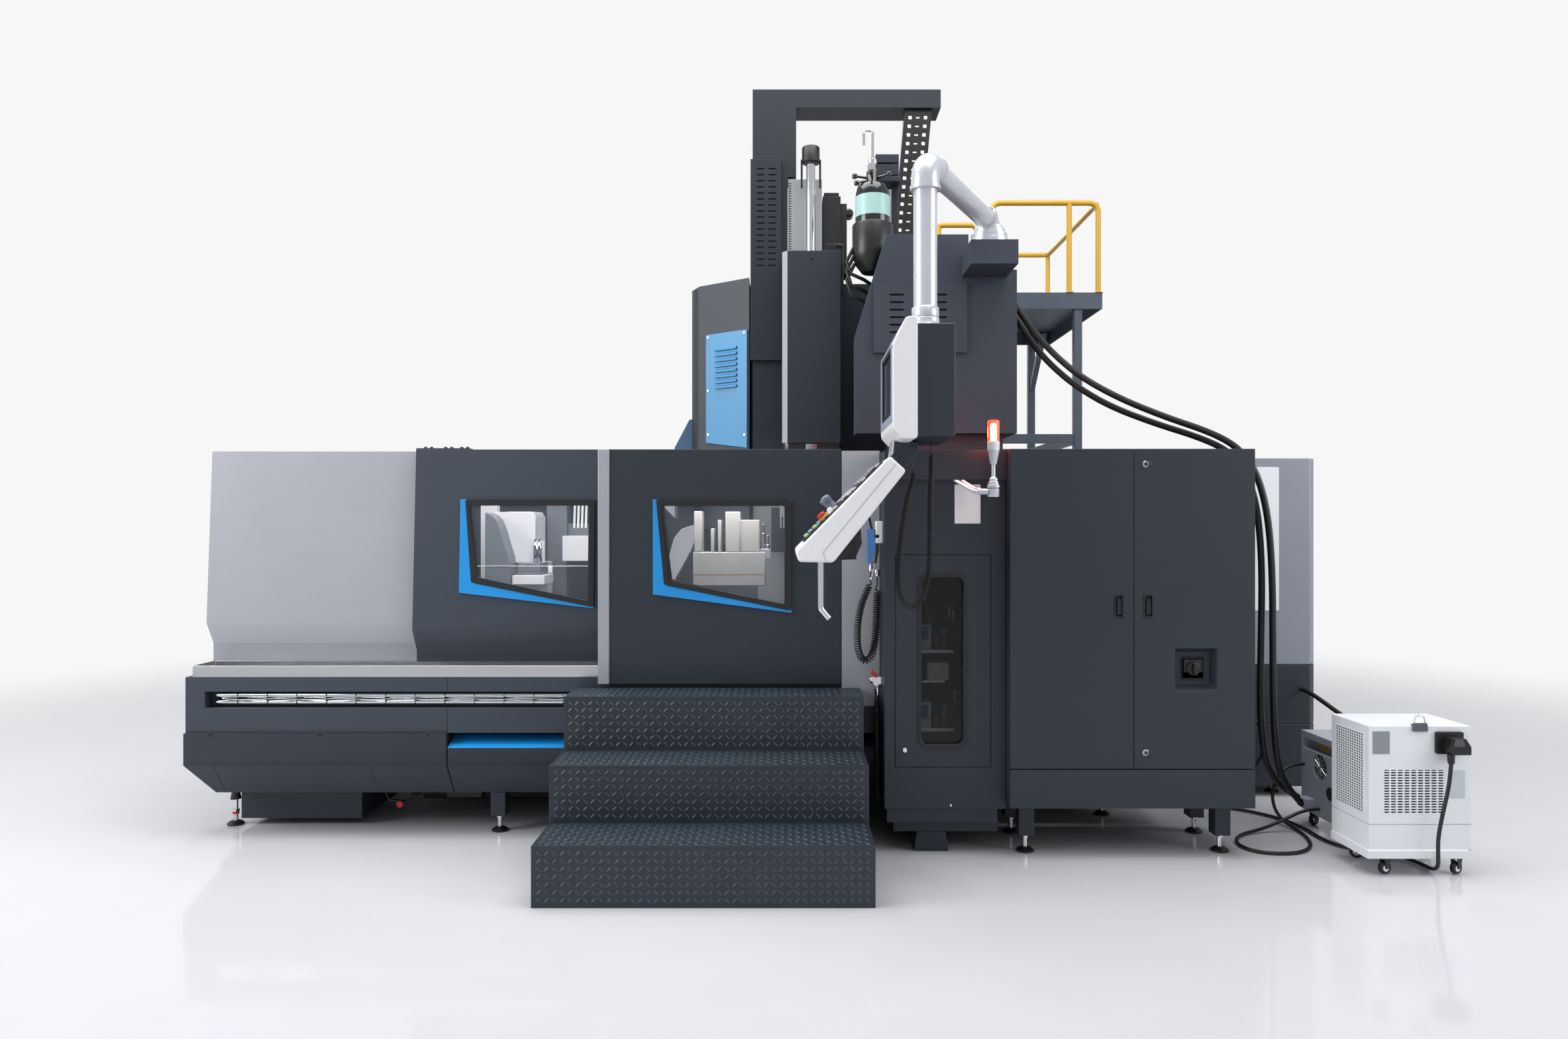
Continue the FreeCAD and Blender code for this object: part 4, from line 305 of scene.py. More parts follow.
def bent(points, radius, count=8):
    """The points of a bar with round bends at its corners."""
    points = [Vector(p) for p in points]
    line = [points[0]]
    for before, corner, after in zip(points, points[1:], points[2:]):
        one = (before - corner).normalized()
        two = (after - corner).normalized()
        half = (math.pi - one.angle(two)) / 2
        back = radius * math.tan(half)
        enter = corner + one * back
        leave = corner + two * back
        for k in range(count + 1):
            t = k / count
            line.append(enter * (1 - t) ** 2 + corner * (2 * t * (1 - t)) + leave * t ** 2)
    line.append(points[-1])
    return line


# ---- hoses and cords


def spline_curve(name, points, radius, material):
    """A smooth round cord whose control points are the route's, given in millimetres."""
    data = bpy.data.curves.new(name, "CURVE")
    data.dimensions = "3D"
    spline = data.splines.new("NURBS")
    spline.points.add(len(points) - 1)
    for place, point in zip(spline.points, points):
        place.co = (*(c / 1000 for c in point), 1)
    spline.order_u = 3
    spline.use_endpoint_u = True
    spline.resolution_u = 8
    data.bevel_depth = radius
    data.bevel_resolution = 5
    data.use_fill_caps = True
    data.materials.append(material)
    return linked(name, data)


def hung(item, name, body):
    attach(item, body)
    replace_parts(item, name)


def free_cord(name, points, radius):
    """A plain round cord along its route."""
    item = spline_curve(name + "_line", points, radius, RUBBER)
    hung(item, name, "machine")


def read_line(points, steps=16):
    """Points along the route's spline, read from the curve with no bevel."""
    guide = spline_curve("guide", points, 0, RUBBER)
    guide.data.splines[0].resolution_u = steps
    mesh = bpy.data.meshes.new_from_object(guide)
    line = [v.co.copy() for v in mesh.vertices]
    bpy.data.objects.remove(guide)
    bpy.data.meshes.remove(mesh)
    return line


def curl(points, radius, wire, pitch, straight=0.03, per_turn=10):
    """The helix of a curly cord round its route, with straight ends that it leaves gently."""
    line = read_line(points)
    total = run_of(line)
    helix = []
    side = None
    travelled = place = angle = 0.0
    for a, b in zip(line, line[1:]):
        run = (b - a).length
        if run < 1e-7:
            continue
        way = (b - a) / run
        side = way.orthogonal().normalized() if side is None else side
        side = (side - way * side.dot(way)).normalized()
        up = way.cross(side)
        while place <= travelled + run:
            swell = min(1, max(0, (min(place, total - place) - straight) / (5 * pitch)))
            swell = swell * swell * (3 - 2 * swell)
            out = (side * math.cos(angle) + up * math.sin(angle)) * ((radius - wire) * swell)
            helix.append(a + way * (place - travelled) + out)
            step = pitch / (per_turn * max(swell * swell, 0.12))
            angle += math.tau * step * swell * swell / pitch
            place += step
        travelled += run
    helix[0] = line[0]
    if (helix[-1] - line[-1]).length < 0.5 * pitch:
        helix.pop()
    helix.append(line[-1])
    return helix


def run_of(line):
    """The length of a line of points."""
    return sum((b - a).length for a, b in zip(line, line[1:]))


def curly_cord(name, points, radius, wire, pitch, body):
    """A cord wound round its route; it works out its wire's length but does nothing with it."""
    helix = curl(points, radius, wire, pitch)
    item = spline_curve(name + "_curl", [p * 1000 for p in helix], wire, RUBBER)
    item.data.splines[0].resolution_u = 2
    item.data.bevel_resolution = 2
    length = run_of(read_line([p * 1000 for p in helix], 4))
    hung(item, name, body)


PENDANT_ROUTE = [(585, -2010, 1868), (585, -2010, 1770), (580, -2008, 1660), (578, -2010, 1550),
    (578, -2008, 1440), (576, -2010, 1340), (562, -2008, 1235), (524, -2010, 1168),
    (476, -2008, 1168), (446, -2010, 1222), (441, -2008, 1320), (450, -2010, 1420),
    (464, -2008, 1530), (484, -2010, 1640), (519.2, -2010, 1739.7), (492, -2010, 1787.5)]
AIR_ROUTE = [(401, -1525, 1272), (401, -1525, 1195), (397, -1525, 1110), (395, -1525, 1025),
    (389, -1530, 950), (370, -1540, 888), (336, -1550, 872), (308, -1557, 915), (302, -1560, 1000),
    (310, -1561, 1090), (332, -1560, 1170), (357, -1560, 1220), (367, -1560, 1262),
    (367, -1560, 1300)]
HOSE_A_ROUTE = [(1172, -1000, 2676), (1228, -1010, 2592), (1290, -1026, 2502), (1372, -1050, 2400),
    (1490, -1100, 2280), (1671, -1155, 2162), (1890, -1205, 2060), (2080, -1250, 1986),
    (2200, -1285, 1915), (2276, -1308, 1818), (2320, -1322, 1690), (2350, -1328, 1520),
    (2368, -1326, 1270), (2373, -1320, 940), (2383, -1305, 620), (2402, -1288, 420),
    (2432, -1268, 290), (2488, -1250, 190), (2560, -1240, 116)]
HOSE_B_ROUTE = [(1172, -960, 2640), (1224, -966, 2550), (1286, -980, 2456), (1370, -1006, 2350),
    (1480, -1050, 2240), (1640, -1096, 2130), (1850, -1150, 2036), (2060, -1200, 1960),
    (2184, -1240, 1892), (2256, -1266, 1796), (2298, -1282, 1670), (2322, -1290, 1510),
    (2336, -1288, 1260), (2334, -1280, 940), (2338, -1262, 620), (2360, -1242, 420),
    (2396, -1226, 290), (2462, -1210, 196), (2560, -1203, 140)]
CHILLER_ROUTE = [(2803, -1982, 496), (2798, -1983, 434), (2783, -1984, 356), (2761, -1985, 266),
    (2747, -1982, 176), (2753, -1974, 104), (2769, -1952, 48), (2785, -1896, 14), (2787, -1820, 11),
    (2772, -1740, 11), (2728, -1672, 11), (2660, -1630, 11), (2592, -1590, 11), (2548, -1522, 11),
    (2536, -1432, 11), (2542, -1338, 12), (2534, -1240, 11), (2508, -1140, 11), (2452, -1050, 11),
    (2385, -975, 11), (2300, -928, 11), (2212, -920, 20), (2136, -952, 46), (2104, -1022, 88),
    (2136, -1088, 134), (2226, -1116, 172), (2325, -1116, 216), (2404, -1114, 290),
    (2436, -1118, 388), (2402, -1138, 482), (2322, -1176, 552), (2212, -1232, 596),
    (2085, -1290, 620)]
BACK_ROUTE = [(2850, -690, 600), (2850, -750, 600), (2858, -870, 572), (2864, -1010, 536),
    (2852, -1170, 512), (2822, -1340, 506), (2794, -1480, 510), (2782, -1590, 524),
    (2782, -1653, 524)]
UNIT_ROUTE = [(2608, -1170, 300), (2552, -1170, 300), (2478, -1182, 262), (2436, -1182, 165),
    (2445, -1188, 75), (2478, -1230, 20), (2496, -1330, 9), (2483, -1430, 9), (2443, -1550, 9),
    (2350, -1650, 9), (2221, -1672, 9), (2115, -1625, 9), (2098, -1510, 9), (2174, -1390, 9),
    (2308, -1330, 16), (2428, -1316, 58), (2538, -1310, 110), (2608, -1310, 110)]
curly_cord("pendant_cord", PENDANT_ROUTE, 0.0132, 0.0028, 0.0082, "pendant")
curly_cord("air_hose", AIR_ROUTE, 0.0185, 0.0034, 0.0112, "machine")
free_cord("coolant_hose_a", HOSE_A_ROUTE, 0.016)
free_cord("coolant_hose_b", HOSE_B_ROUTE, 0.016)
free_cord("chiller_cord", CHILLER_ROUTE, 0.008)
free_cord("chiller_hose", BACK_ROUTE, 0.012)
free_cord("unit_cord", UNIT_ROUTE, 0.008)

# ---- small parts


def screws(shape, spots, radius=0.007, out=0.004, front=None, axis="y", way=-1):
    """Socket screw heads on a face: spots are across the axis and front is the face's place."""
    for u, v in spots:
        shape.turn(axis, u, v, [(radius, front), (radius, front + way * out * 0.7),
            (radius * 0.85, front + way * out), (radius * 0.5, front + way * out),
            (radius * 0.45, front + way * out * 0.3)], 16)
    return shape


def plate_on(shape, outline, front, thick=0.002):
    """A thin flat plate on a face that looks towards the operator."""
    return shape.prism(outline, "y", front - thick, front + 0.001)


def band(shape, outer, inner, back, front):
    """A flat frame between two outlines with as many corners; back and front give y at a height."""
    rings = []
    for outline, depth in ((outer, back), (outer, front), (inner, front), (inner, back)):
        rings.append([Vector((x, depth(z), z)) for x, z in outline])
    rings.append(rings[0])
    return shape.skin(rings, capped=False)


def round_corners(points, radius, count=5):
    """The same outline with round corners."""
    line = []
    total = len(points)
    for i in range(total):
        corner = Vector(points[i])
        one = (Vector(points[i - 1]) - corner).normalized()
        two = (Vector(points[(i + 1) % total]) - corner).normalized()
        enter, leave = corner + one * radius, corner + two * radius
        for k in range(count + 1):
            t = k / count
            line.append(tuple(enter * (1 - t) ** 2 + corner * 2 * t * (1 - t) + leave * t ** 2))
    return line


# ---- base and feet

tubes = Shape()
TUBE = 0.0145
for z in (0.6535, 0.6865):
    tubes.turn("x", -1.3785, z, [(TUBE * 0.6, -2.812), (TUBE, -2.8), (TUBE, -0.062)], 24)
for k in range(3):
    wave = [(-2.77 + 0.0905 * i, -1.394 - 0.001 * k, 0.658 + 0.012 * k + 0.003
        * math.sin(1.9 * i + 2.2 * k)) for i in range(30)]
    tubes.pipe(wave, 0.0022, 8)
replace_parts(tubes.done("slot_tubes_polished", CHROME), "slot_tubes")
clips = Shape()
seams = Shape()
for i in range(19):
    x = -2.7 + 0.144 * i
    clips.block((x, -1.3965, 0.661, x + 0.005, -1.359, 0.679),
        (x + 0.001, -1.3945, 0.64, x + 0.0035, -1.378, 0.7))
for low, high in ((0.512, 0.629), (0.71, 0.778)):
    seams.block((-1.669, -1.4206, low, -1.6665, -1.4195, high))
for x in (-2.79, -2.036):
    seams.prism([(-1.4386, 0.356), (-1.438, 0.356), (-1.328, 0.198), (-1.3286, 0.1975)], "x",
        x - 0.0012, x + 0.0012)
screws(clips, [(-2.805, 0.503), (-2.278, 0.503), (-1.758, 0.503)], 0.008, 0.003, -1.438)
clips.done("base_clips_and_screws", BLACK)
seams.done("panel_seams", DARK)
Shape().prism([(-1.3325, 0.485), (-1.4385, 0.4442), (-1.4385, 0.4412), (-1.3325, 0.482)], "x",
    -1.66, -1.041).done("blue_ledge", BLUE, bevel=0.001)

FEET = [(-2.818, -1.19, 0.198, 0.08), (-1.45, -1.292, 0.198, 0.08), (-2.63, 0.365, 0.198, 0.08),
    (-0.88, 0.365, 0.198, 0.08), (1.575, 0.365, 0.198, 0.08), (1.625, -1.02, 0.198, 0.08),
    (2.74, -0.57, 0.06, 0.03), (2.74, 0.38, 0.06, 0.03), (1.985, -1.6, 0.236, 0.08),
    (1.985, -1.315, 0.236, 0.08), (1.08, -1.315, 0.236, 0.08), (1.08, -1.6, 0.236, 0.08)]
pads, posts, blocks = Shape(), Shape(), Shape()
for x, y, top, low in FEET:
    pads.turn("z", x, y, [(0.036, 0), (0.04, 0.003), (0.04, 0.008), (0.03, 0.016), (0.018, 0.022),
        (0.012, 0.023)])
    posts.turn("z", x, y, [(0.011, 0.018), (0.011, low + 0.055)])
    posts.turn("z", x, y, [(0.019, low - 0.012), (0.019, low)], 6)
    if (x, y) == FEET[0][:2]:
        pads.turn("z", x, y, [(0.026, 0.13), (0.02, 0.16), (0.014, top)])
    else:
        blocks.block((x - 0.036, y - 0.036, low, x + 0.036, y + 0.036, top))
pads.done("foot_pads", BLACK)
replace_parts(posts.done("foot_screws", CHROME), "levelling_feet")
blocks.done("foot_blocks", CHARCOAL, bevel=0.002)
under = Shape()
under.pipe(bent([(-2.09, -1.15, 0.195), (-2.05, -1.17, 0.12), (-1.96, -1.18, 0.11),
    (-1.8, -1.14, 0.19)], 0.03), 0.007)
under.pipe([(-2.0, -1.0, 0.105), (-1.5, -1.0, 0.104), (-0.9, -1.0, 0.105)], 0.009)
under.block((-1.78, -1.1, 0.11, -1.6, -0.98, 0.198), (-0.62, -1.17, 0.11, -0.5, -1.08, 0.198),
    (-1.98, -0.86, 0.045, 1.86, 0.28, 0.201))
under.pipe([(-1.98, -0.869, 0.057), (0.4, -0.869, 0.057)], 0.012)
under.done("under_pipes", RUBBER, bevel=0.002)
taps = Shape()
taps.turn("y", -1.985, 0.102, [(0.006, -1.17), (0.017, -1.18), (0.017, -1.198), (0.01, -1.2)])
taps.turn("z", -2.818, -1.19, [(0.016, 0.055), (0.016, 0.078)])
taps.done("red_valve_and_collar", RED)

# ---- tread plates


def lozenges(shape, corner, across, up, out, wide, tall, pitch=0.031):
    """Raised lozenges in alternate directions over a flat face."""
    columns, rows = int((wide - 0.024) / pitch), int((tall - 0.02) / pitch)
    for i in range(columns):
        for j in range(rows):
            middle = corner + across * (wide / 2 + pitch * (i - (columns - 1) / 2))
            middle += up * (tall / 2 + pitch * (j - (rows - 1) / 2))
            turn = math.radians(45 if (i + j) % 2 else -45)
            along = across * math.cos(turn) + up * math.sin(turn)
            side = out.cross(along)
            base = [middle + along * (0.0155 * a) + side * (0.0042 * b)
                for a, b in ((1, 0), (0.3, 1), (-0.3, 1), (-1, 0), (-0.3, -1), (0.3, -1))]
            ridge = [middle + along * (0.009 * a) + out * 0.0019 for a in (1, -1)]
            verts = [shape.bm.verts.new(p) for p in base + ridge]
            for corners in ((5, 0, 6), (0, 1, 6), (1, 2, 7, 6), (2, 3, 7), (3, 4, 7), (4, 5, 6, 7)):
                shape.bm.faces.new([verts[c] for c in corners])


RIGHT, UP, BACK, FRONT = Vector((1, 0, 0)), Vector((0, 0, 1)), Vector((0, 1, 0)), Vector((0, -1, 0))
RISE, STEP_LEFT, STEP_RIGHT = 0.245, -1.04, 0.322
STEP_WIDE = STEP_RIGHT - STEP_LEFT
treads = Shape()
for step, (front, back) in enumerate(((-2.29, -1.99), (-1.99, -1.71), (-1.71, -1.465))):
    floor_z = RISE * step
    lozenges(treads, Vector((STEP_LEFT, front, floor_z)), RIGHT, UP, FRONT, STEP_WIDE, RISE)
    lozenges(treads, Vector((STEP_LEFT, front, floor_z + RISE)), RIGHT, BACK, UP, STEP_WIDE,
        back - front)
    for x, way in ((STEP_LEFT, -1), (STEP_RIGHT, 1)):
        side = Vector((way, 0, 0))
        lozenges(treads, Vector((x, front, floor_z)), BACK, UP, side, back - front, RISE)
        if step < 2:
            lozenges(treads, Vector((x, back, floor_z)), BACK, UP, side, -1.47 - back, RISE)
treads.done("tread_lozenges", surface("worn_tread", "#3c4752", 0.34, 0.2, grain=300, bump=0.2,
    vary=0.25, patch=14), smooth=20)

# ---- windows and door


def window(name, black_out, black_in, plane, body):
    """The black band round a pane; plane gives y at a height."""
    band(Shape(), round_corners(black_out, 0.018), round_corners(black_in, 0.012),
        lambda z: plane(z) + 0.004, lambda z: plane(z) - 0.004).done(name, BLACK, body,
        bevel=0.0012)


def door_plane(z):
    """The upright face of the door."""
    return -1.4705


def cover_plane(z):
    """The leaning face of the left cover."""
    return -1.36 + (z - 1.0) * 0.0562


window("door_window_band", [(-0.652, 1.64), (-0.004, 1.64), (-0.004, 1.104), (-0.6135, 1.228)],
    [(-0.63, 1.608), (-0.038, 1.608), (-0.038, 1.1365), (-0.59, 1.25)], door_plane, "door")
window("left_window_band", [(-1.611, 1.644), (-0.972, 1.644), (-0.972, 1.112), (-1.576, 1.2324)],
    [(-1.5926, 1.611), (-0.9945, 1.611), (-1.003, 1.1446), (-1.5446, 1.2598)], cover_plane,
    "machine")
wedges = Shape()
band(wedges, [(-1.6352, 1.6422), (-0.9748, 1.6422), (-0.9748, 1.1068), (-1.6352, 1.1828)],
    [(-1.611, 1.64), (-0.978, 1.64), (-0.978, 1.12), (-1.576, 1.2354)],
    lambda z: cover_plane(z) + 0.004, lambda z: cover_plane(z) - 0.0015)
wedges.done("left_window_blue", BLUE, bevel=0.001)
wedges = Shape()
band(wedges, [(-0.6672, 1.6372), (-0.0048, 1.6372), (-0.0048, 1.0948), (-0.6672, 1.1828)],
    [(-0.652, 1.636), (-0.01, 1.636), (-0.01, 1.112), (-0.6135, 1.231)], lambda z: -1.466,
    lambda z: -1.4715)
wedges.done("door_window_blue", BLUE, "door", bevel=0.001)
Shape().block((-0.9316, -1.4662, 0.7516, -0.8768, -1.424, 1.8784)).done("door_grey_strip", GREY,
    "door", bevel=0.004)
studs = Shape()
studs.block((-1.864, -1.298, 1.889, -1.6, -1.225, 1.8965))
for x in (-1.83, -1.8, -1.73, -1.7, -1.65, -1.62):
    studs.turn("z", x, -1.262, [(0.009, 1.896), (0.009, 1.904), (0.005, 1.906)], 14)
studs.done("top_plate_studs", SLATE, bevel=0.001)

# ---- end housing

HOUSE = [(1.89, -0.69), (2.894, -0.69), (2.94, -0.644), (2.94, 0.5), (1.89, 0.5)]
upper, lower = Shape(), Shape()
upper.prism(HOUSE, "z", 0.741, 1.89)
lower.prism(HOUSE, "z", 0.06, 0.406)
lower.prism(HOUSE, "z", 0.41, 0.739)
lower.prism([(1.895, -0.686), (2.892, -0.686), (2.936, -0.642), (2.936, 0.496), (1.895, 0.496)],
    "z", 0.1, 0.8)
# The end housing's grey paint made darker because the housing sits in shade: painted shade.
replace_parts(upper.done("end_housing_upper", surface("grey_paint_in_painted_shade", "#878b95", 0.44, bump=0.2,
    vary=0.025), bevel=0.004), "end_housing")
# The lower part takes the darker charcoal: painted shade.
lower.done("end_housing_lower", CHARCOAL_PAINTED_SHADE, bevel=0.003)
plate_on(Shape(), rounded(2.3, 2.72, 1.04, 1.84, 0.006), -0.69, 0.004).done("end_housing_board",
    PLATE, bevel=0.0015)

# ---- pneumatic cabinet


def cabinet_insides():
    """Shelves, regulators, bowls and fittings behind the cabinet's pane."""
    shelves, housings, dials, bowls, brass = Shape(), Shape(), Shape(), Shape(), Shape()
    for top in (0.925, 0.554):
        shelves.block((0.5, -1.525, top - 0.016, 0.765, -1.25, top))
        for k in range(9):
            shelves.block((0.515 + 0.026 * k, -1.529, top - 0.013, 0.53 + 0.026 * k, -1.524,
                top - 0.004))
        housings.block((0.575, -1.5, top - 0.001, 0.66, -1.37, top + 0.118))
        dials.prism(rounded(0.59, 0.645, top + 0.045, top + 0.105, 0.006), "y", -1.507, -1.498)
        for k, x in enumerate((0.69, 0.728)):
            tall = 0.03 + 0.016 * k
            bowls.turn("z", x, -1.46, [(0.012, top - 0.001), (0.018, top + 0.01),
                (0.018, top + tall), (0.012, top + tall + 0.006)])
            brass.turn("z", x, -1.46, [(0.015, top + tall + 0.005), (0.015, top + tall + 0.02),
                (0.006, top + tall + 0.022)])
        dials.turn("y", 0.728, top + 0.082, [(0.017, -1.45), (0.017, -1.468)])
    housings.block((0.64, -1.5, 0.776, 0.745, -1.42, 0.862))
    shelves.block((0.615, -1.5, 0.765, 0.725, -1.25, 0.777))
    for x, z in ((0.748, 1.105), (0.768, 1.085), (0.775, 0.7)):
        brass.turn("z", x, -1.48, [(0.006, z - 0.035), (0.012, z - 0.02), (0.012, z + 0.01),
            (0.018, z + 0.012), (0.018, z + 0.024)])
        brass.pipe([(x, -1.475, z), (x, -1.25, z)], 0.006)
    brass.pipe(bent([(0.63, -1.45, 1.27), (0.64, -1.46, 1.12), (0.68, -1.44, 0.98)], 0.06), 0.006)
    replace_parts(housings.done("regulator_boxes", WHITE, bevel=0.004), "filter_units")
    shelves.done("cabinet_shelves", STEEL, bevel=0.001)
    dials.done("blue_dials", surface("dial_blue", "#2c86b4", 0.25, grain=60, vary=0.2, patch=40),
        bevel=0.001)
    bowls.done("amber_bowls", AMBER)
    brass.done("brass_fittings", surface("brass", "#b98d4e", 0.25, 1.0, grain=160, vary=0.1))


cabinet_insides()
AIR_FRONT = -1.66
trim = Shape()
band(trim, rounded(0.576, 0.799, 0.492, 1.29, 0.042), rounded(0.59, 0.785, 0.506, 1.276, 0.03),
    lambda z: -1.659, lambda z: -1.6665)
trim.done("air_window_trim", BLACK, "air_door", bevel=0.0008)
screws(Shape(), [(0.5145, 0.482)], 0.011, 0.006, -1.664).done("air_door_lock", CHROME, "air_door")
plate_on(Shape(), rounded(0.743, 0.8615, 1.521, 1.7, 0.003), AIR_FRONT).done("bare_plate", WHITE,
    bevel=0.0006)
screws(Shape(), [(0.726, 0.228)], 0.005, 0.003, AIR_FRONT).done("plinth_screw", CHROME)

# ---- control cabinet

for name, x, body in (("left", 1.451, "cabinet_door_left"), ("right", 1.584, "cabinet_door_right")):
    pull = Shape()
    band(pull, rounded(x - 0.003, x + 0.041, 1.094, 1.203, 0.006),
        rounded(x + 0.004, x + 0.034, 1.101, 1.196, 0.004), lambda z: -1.7395, lambda z: -1.7425)
    pull.block((x + 0.012, -1.7405, 1.115, x + 0.026, -1.727, 1.182))
    pull.done(f"pull_{name}", BLACK, body, bevel=0.001)
locks, slots = Shape(), Shape()
for z in (1.788, 0.488):
    locks.turn("y", 1.589, z, [(0.015, -1.739), (0.015, -1.7435), (0.0125, -1.7455),
        (0.009, -1.7455), (0.0085, -1.7435)])
    slots.turn("y", 1.589, z, [(0.0085, -1.74), (0.0085, -1.7438)], 3)
locks.done("door_lock_rings", MACHINED, "cabinet_door_right")
slots.done("door_lock_cores", BLACK, "cabinet_door_right")
switch = Shape()
switch.prism(rounded(1.768, 1.869, 0.812, 0.914, 0.008), "y", -1.703, -1.699)
switch.prism(rounded(1.776, 1.861, 0.845, 0.905, 0.004), "y", -1.708, -1.703)
switch.done("isolator_plate", PLASTIC, "cabinet_door_right", bevel=0.001)
knob = Shape()
knob.turn("y", 1.8185, 0.863, [(0.031, -1.7085), (0.031, -1.714), (0.026, -1.718), (0.02, -1.719)])
knob.prism(rounded(1.8105, 1.8265, 0.836, 0.89, 0.006), "y", -1.737, -1.716)
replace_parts(knob.done("isolator_knob", BLACK, "isolator", bevel=0.001), "isolator_switch")

# ---- column, bridge and head

PANEL_BLUE = surface("panel_blue", "#2e85b8", 0.38, bump=0.16, vary=0.04)


def on_panel(angle, origin):
    """A frame with x along a wall's face, z up and y into the wall."""
    return Matrix.Translation(origin) @ Matrix.Rotation(angle, 4, "Z")


def pierced(shape, area, grid, columns, rows, half, deep, matrix, shift=0.0, sides=12):
    """A sheet with a grid of oval holes: area and grid are (left, right, low, high)."""
    left, right, low, high = grid
    wide, tall = (right - left) / columns, (high - low) / rows
    half_wide, half_tall = half
    bm = shape.bm

    def vert(x, z, y):
        return bm.verts.new(matrix @ Vector((x, y, z)))

    def hole(x, z, start):
        points = []
        for k in range(sides + 1):
            angle = start + math.pi * k / sides
            c, s = math.cos(angle), math.sin(angle)
            points.append((x + half_wide * abs(c) ** 0.6 * (1 if c > 0 else -1),
                z + half_tall * abs(s) ** 0.6 * (1 if s > 0 else -1)))
        return points

    for i in range(columns):
        for j in range(rows):
            x = left + wide * (i + 0.5)
            z = low + tall * (j + 0.5)
            middle = x + (shift if j % 2 else -shift)
            for way in (1, -1):
                arc = hole(middle, z, 0 if way > 0 else math.pi)
                edge = [(x - way * wide / 2, z), (x - way * wide / 2, z + way * tall / 2),
                    (x + way * wide / 2, z + way * tall / 2), (x + way * wide / 2, z)]
                bm.faces.new([vert(px, pz, -deep) for px, pz in arc + edge])
                for (ax, az), (bx, bz) in zip(arc, arc[1:]):
                    bm.faces.new([vert(ax, az, -deep), vert(bx, bz, -deep), vert(bx, bz, 0),
                        vert(ax, az, 0)])
    outer = [(area[0], area[2]), (area[1], area[2]), (area[1], area[3]), (area[0], area[3])]
    inner = [(left, low), (right, low), (right, high), (left, high)]
    for k in range(4):
        n = (k + 1) % 4
        if outer[k] != inner[k] or outer[n] != inner[n]:
            bm.faces.new([vert(*outer[k], -deep), vert(*outer[n], -deep), vert(*inner[n], -deep),
                vert(*inner[k], -deep)])
        bm.faces.new([vert(*outer[k], -deep), vert(*outer[k], 0), vert(*outer[n], 0),
            vert(*outer[n], -deep)])


SLANT = on_panel(math.atan2(-0.22, 0.319), (-0.567, -0.07, 0))
blue = Shape()
blue.prism([(0.061, 2.025), (0.377, 1.98), (0.377, 2.69), (0.061, 2.69)], "y", -0.01, 0)
for k in range(8):
    z = 2.35 + 0.033 * k
    blue.prism([(-0.01, z + 0.02), (-0.016, z + 0.017), (-0.0205, z + 0.009), (-0.0215, z),
        (-0.0195, z), (-0.01, z + 0.004)], "x", 0.136, 0.302)
blue.moved(SLANT)
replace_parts(blue.done("blue_side_panel", PANEL_BLUE, bevel=0.0015), "louvre_panels")
screws(Shape(), [(0.08, 2.672), (0.358, 2.672), (0.08, 2.345), (0.36, 2.06), (0.08, 2.075)], 0.007,
    0.004, -0.01).moved(SLANT).done("blue_panel_screws", CHROME)
FACE = on_panel(0, (0, -1.06, 0))
dark, behind = Shape(), Shape()
pierced(dark, (0.424, 0.91, 2.41, 2.779), (0.4335, 0.8795, 2.4965, 2.7305), 2, 6, (0.039, 0.0055),
    0.014, FACE)
dark.done("cover_louvre_panel", CHARCOAL_PAINTED_LIGHT, bevel=0.0018)
behind.block((0.43, -1.0612, 2.416, 0.904, -1.0602, 2.773))
behind.done("cover_louvre_shade", DARK)
side_box = Shape()
side_box.prism([(-0.735, 1.83), (-0.735, 2.01), (-0.64, 2.19), (-0.6, 2.19), (-0.6, 1.83)], "y",
    0.06, 0.3)
side_box.done("side_blue_box", surface("blue_grey_paint", "#47637f", 0.4, grain=300, bump=0.15),
    bevel=0.003)
Shape().prism([(-0.0508, -0.4806), (-0.0206, -0.5108), (-0.0196, -0.5098), (-0.0498, -0.4796)], "z",
    1.992, 3.098).done("ram_edge_highlight", GREY, "head", bevel=0.0004)
screws(Shape(), [(0.118, 3.055)], 0.009, 0.003, -0.51).done("ram_screw", BLACK, "head")
Shape().turn("z", 0.118, -0.395, [(0.0272, 3.094), (0.0272, 3.664)], 40).done("balance_rod", CHROME,
    "head")
cap = Shape()
cap.turn("z", 0.118, -0.395, [(0.046, 3.64), (0.0525, 3.646), (0.0525, 3.73), (0.048, 3.737),
    (0.03, 3.739)], 40)
cap.block((0.058, -0.4, 3.5, 0.07, -0.385, 3.665), (0.166, -0.4, 3.5, 0.178, -0.385, 3.665))
cap.done("balance_cap", BLACK, "head", bevel=0.001)
rack = Shape()
for k in range(38):
    rack.block((-0.014, -0.3003, 3.0 + 0.015 * k, 0.004, -0.298, 3.0065 + 0.015 * k))
rack.done("guide_rack", BLACK, bevel=0.0005)
motor = Shape()
motor.block((0.192, -0.283, 3.02, 0.3, -0.12, 3.49), (0.2, -0.28, 3.49, 0.29, -0.13, 3.512),
    (0.3, -0.27, 3.02, 0.338, -0.14, 3.45), (0.205, -0.2885, 2.87, 0.318, -0.12, 3.205))
motor.turn("y", 0.352, 3.395, [(0.018, -0.275), (0.026, -0.265), (0.026, -0.2)])
motor.pipe(bent([(0.262, -0.2925, 3.02), (0.262, -0.2925, 3.19), (0.314, -0.2925, 3.19),
    (0.314, -0.2925, 3.02)], 0.015), 0.0045)
motor.done("axis_motor", BLACK, bevel=0.004)

# ---- accumulator bottle

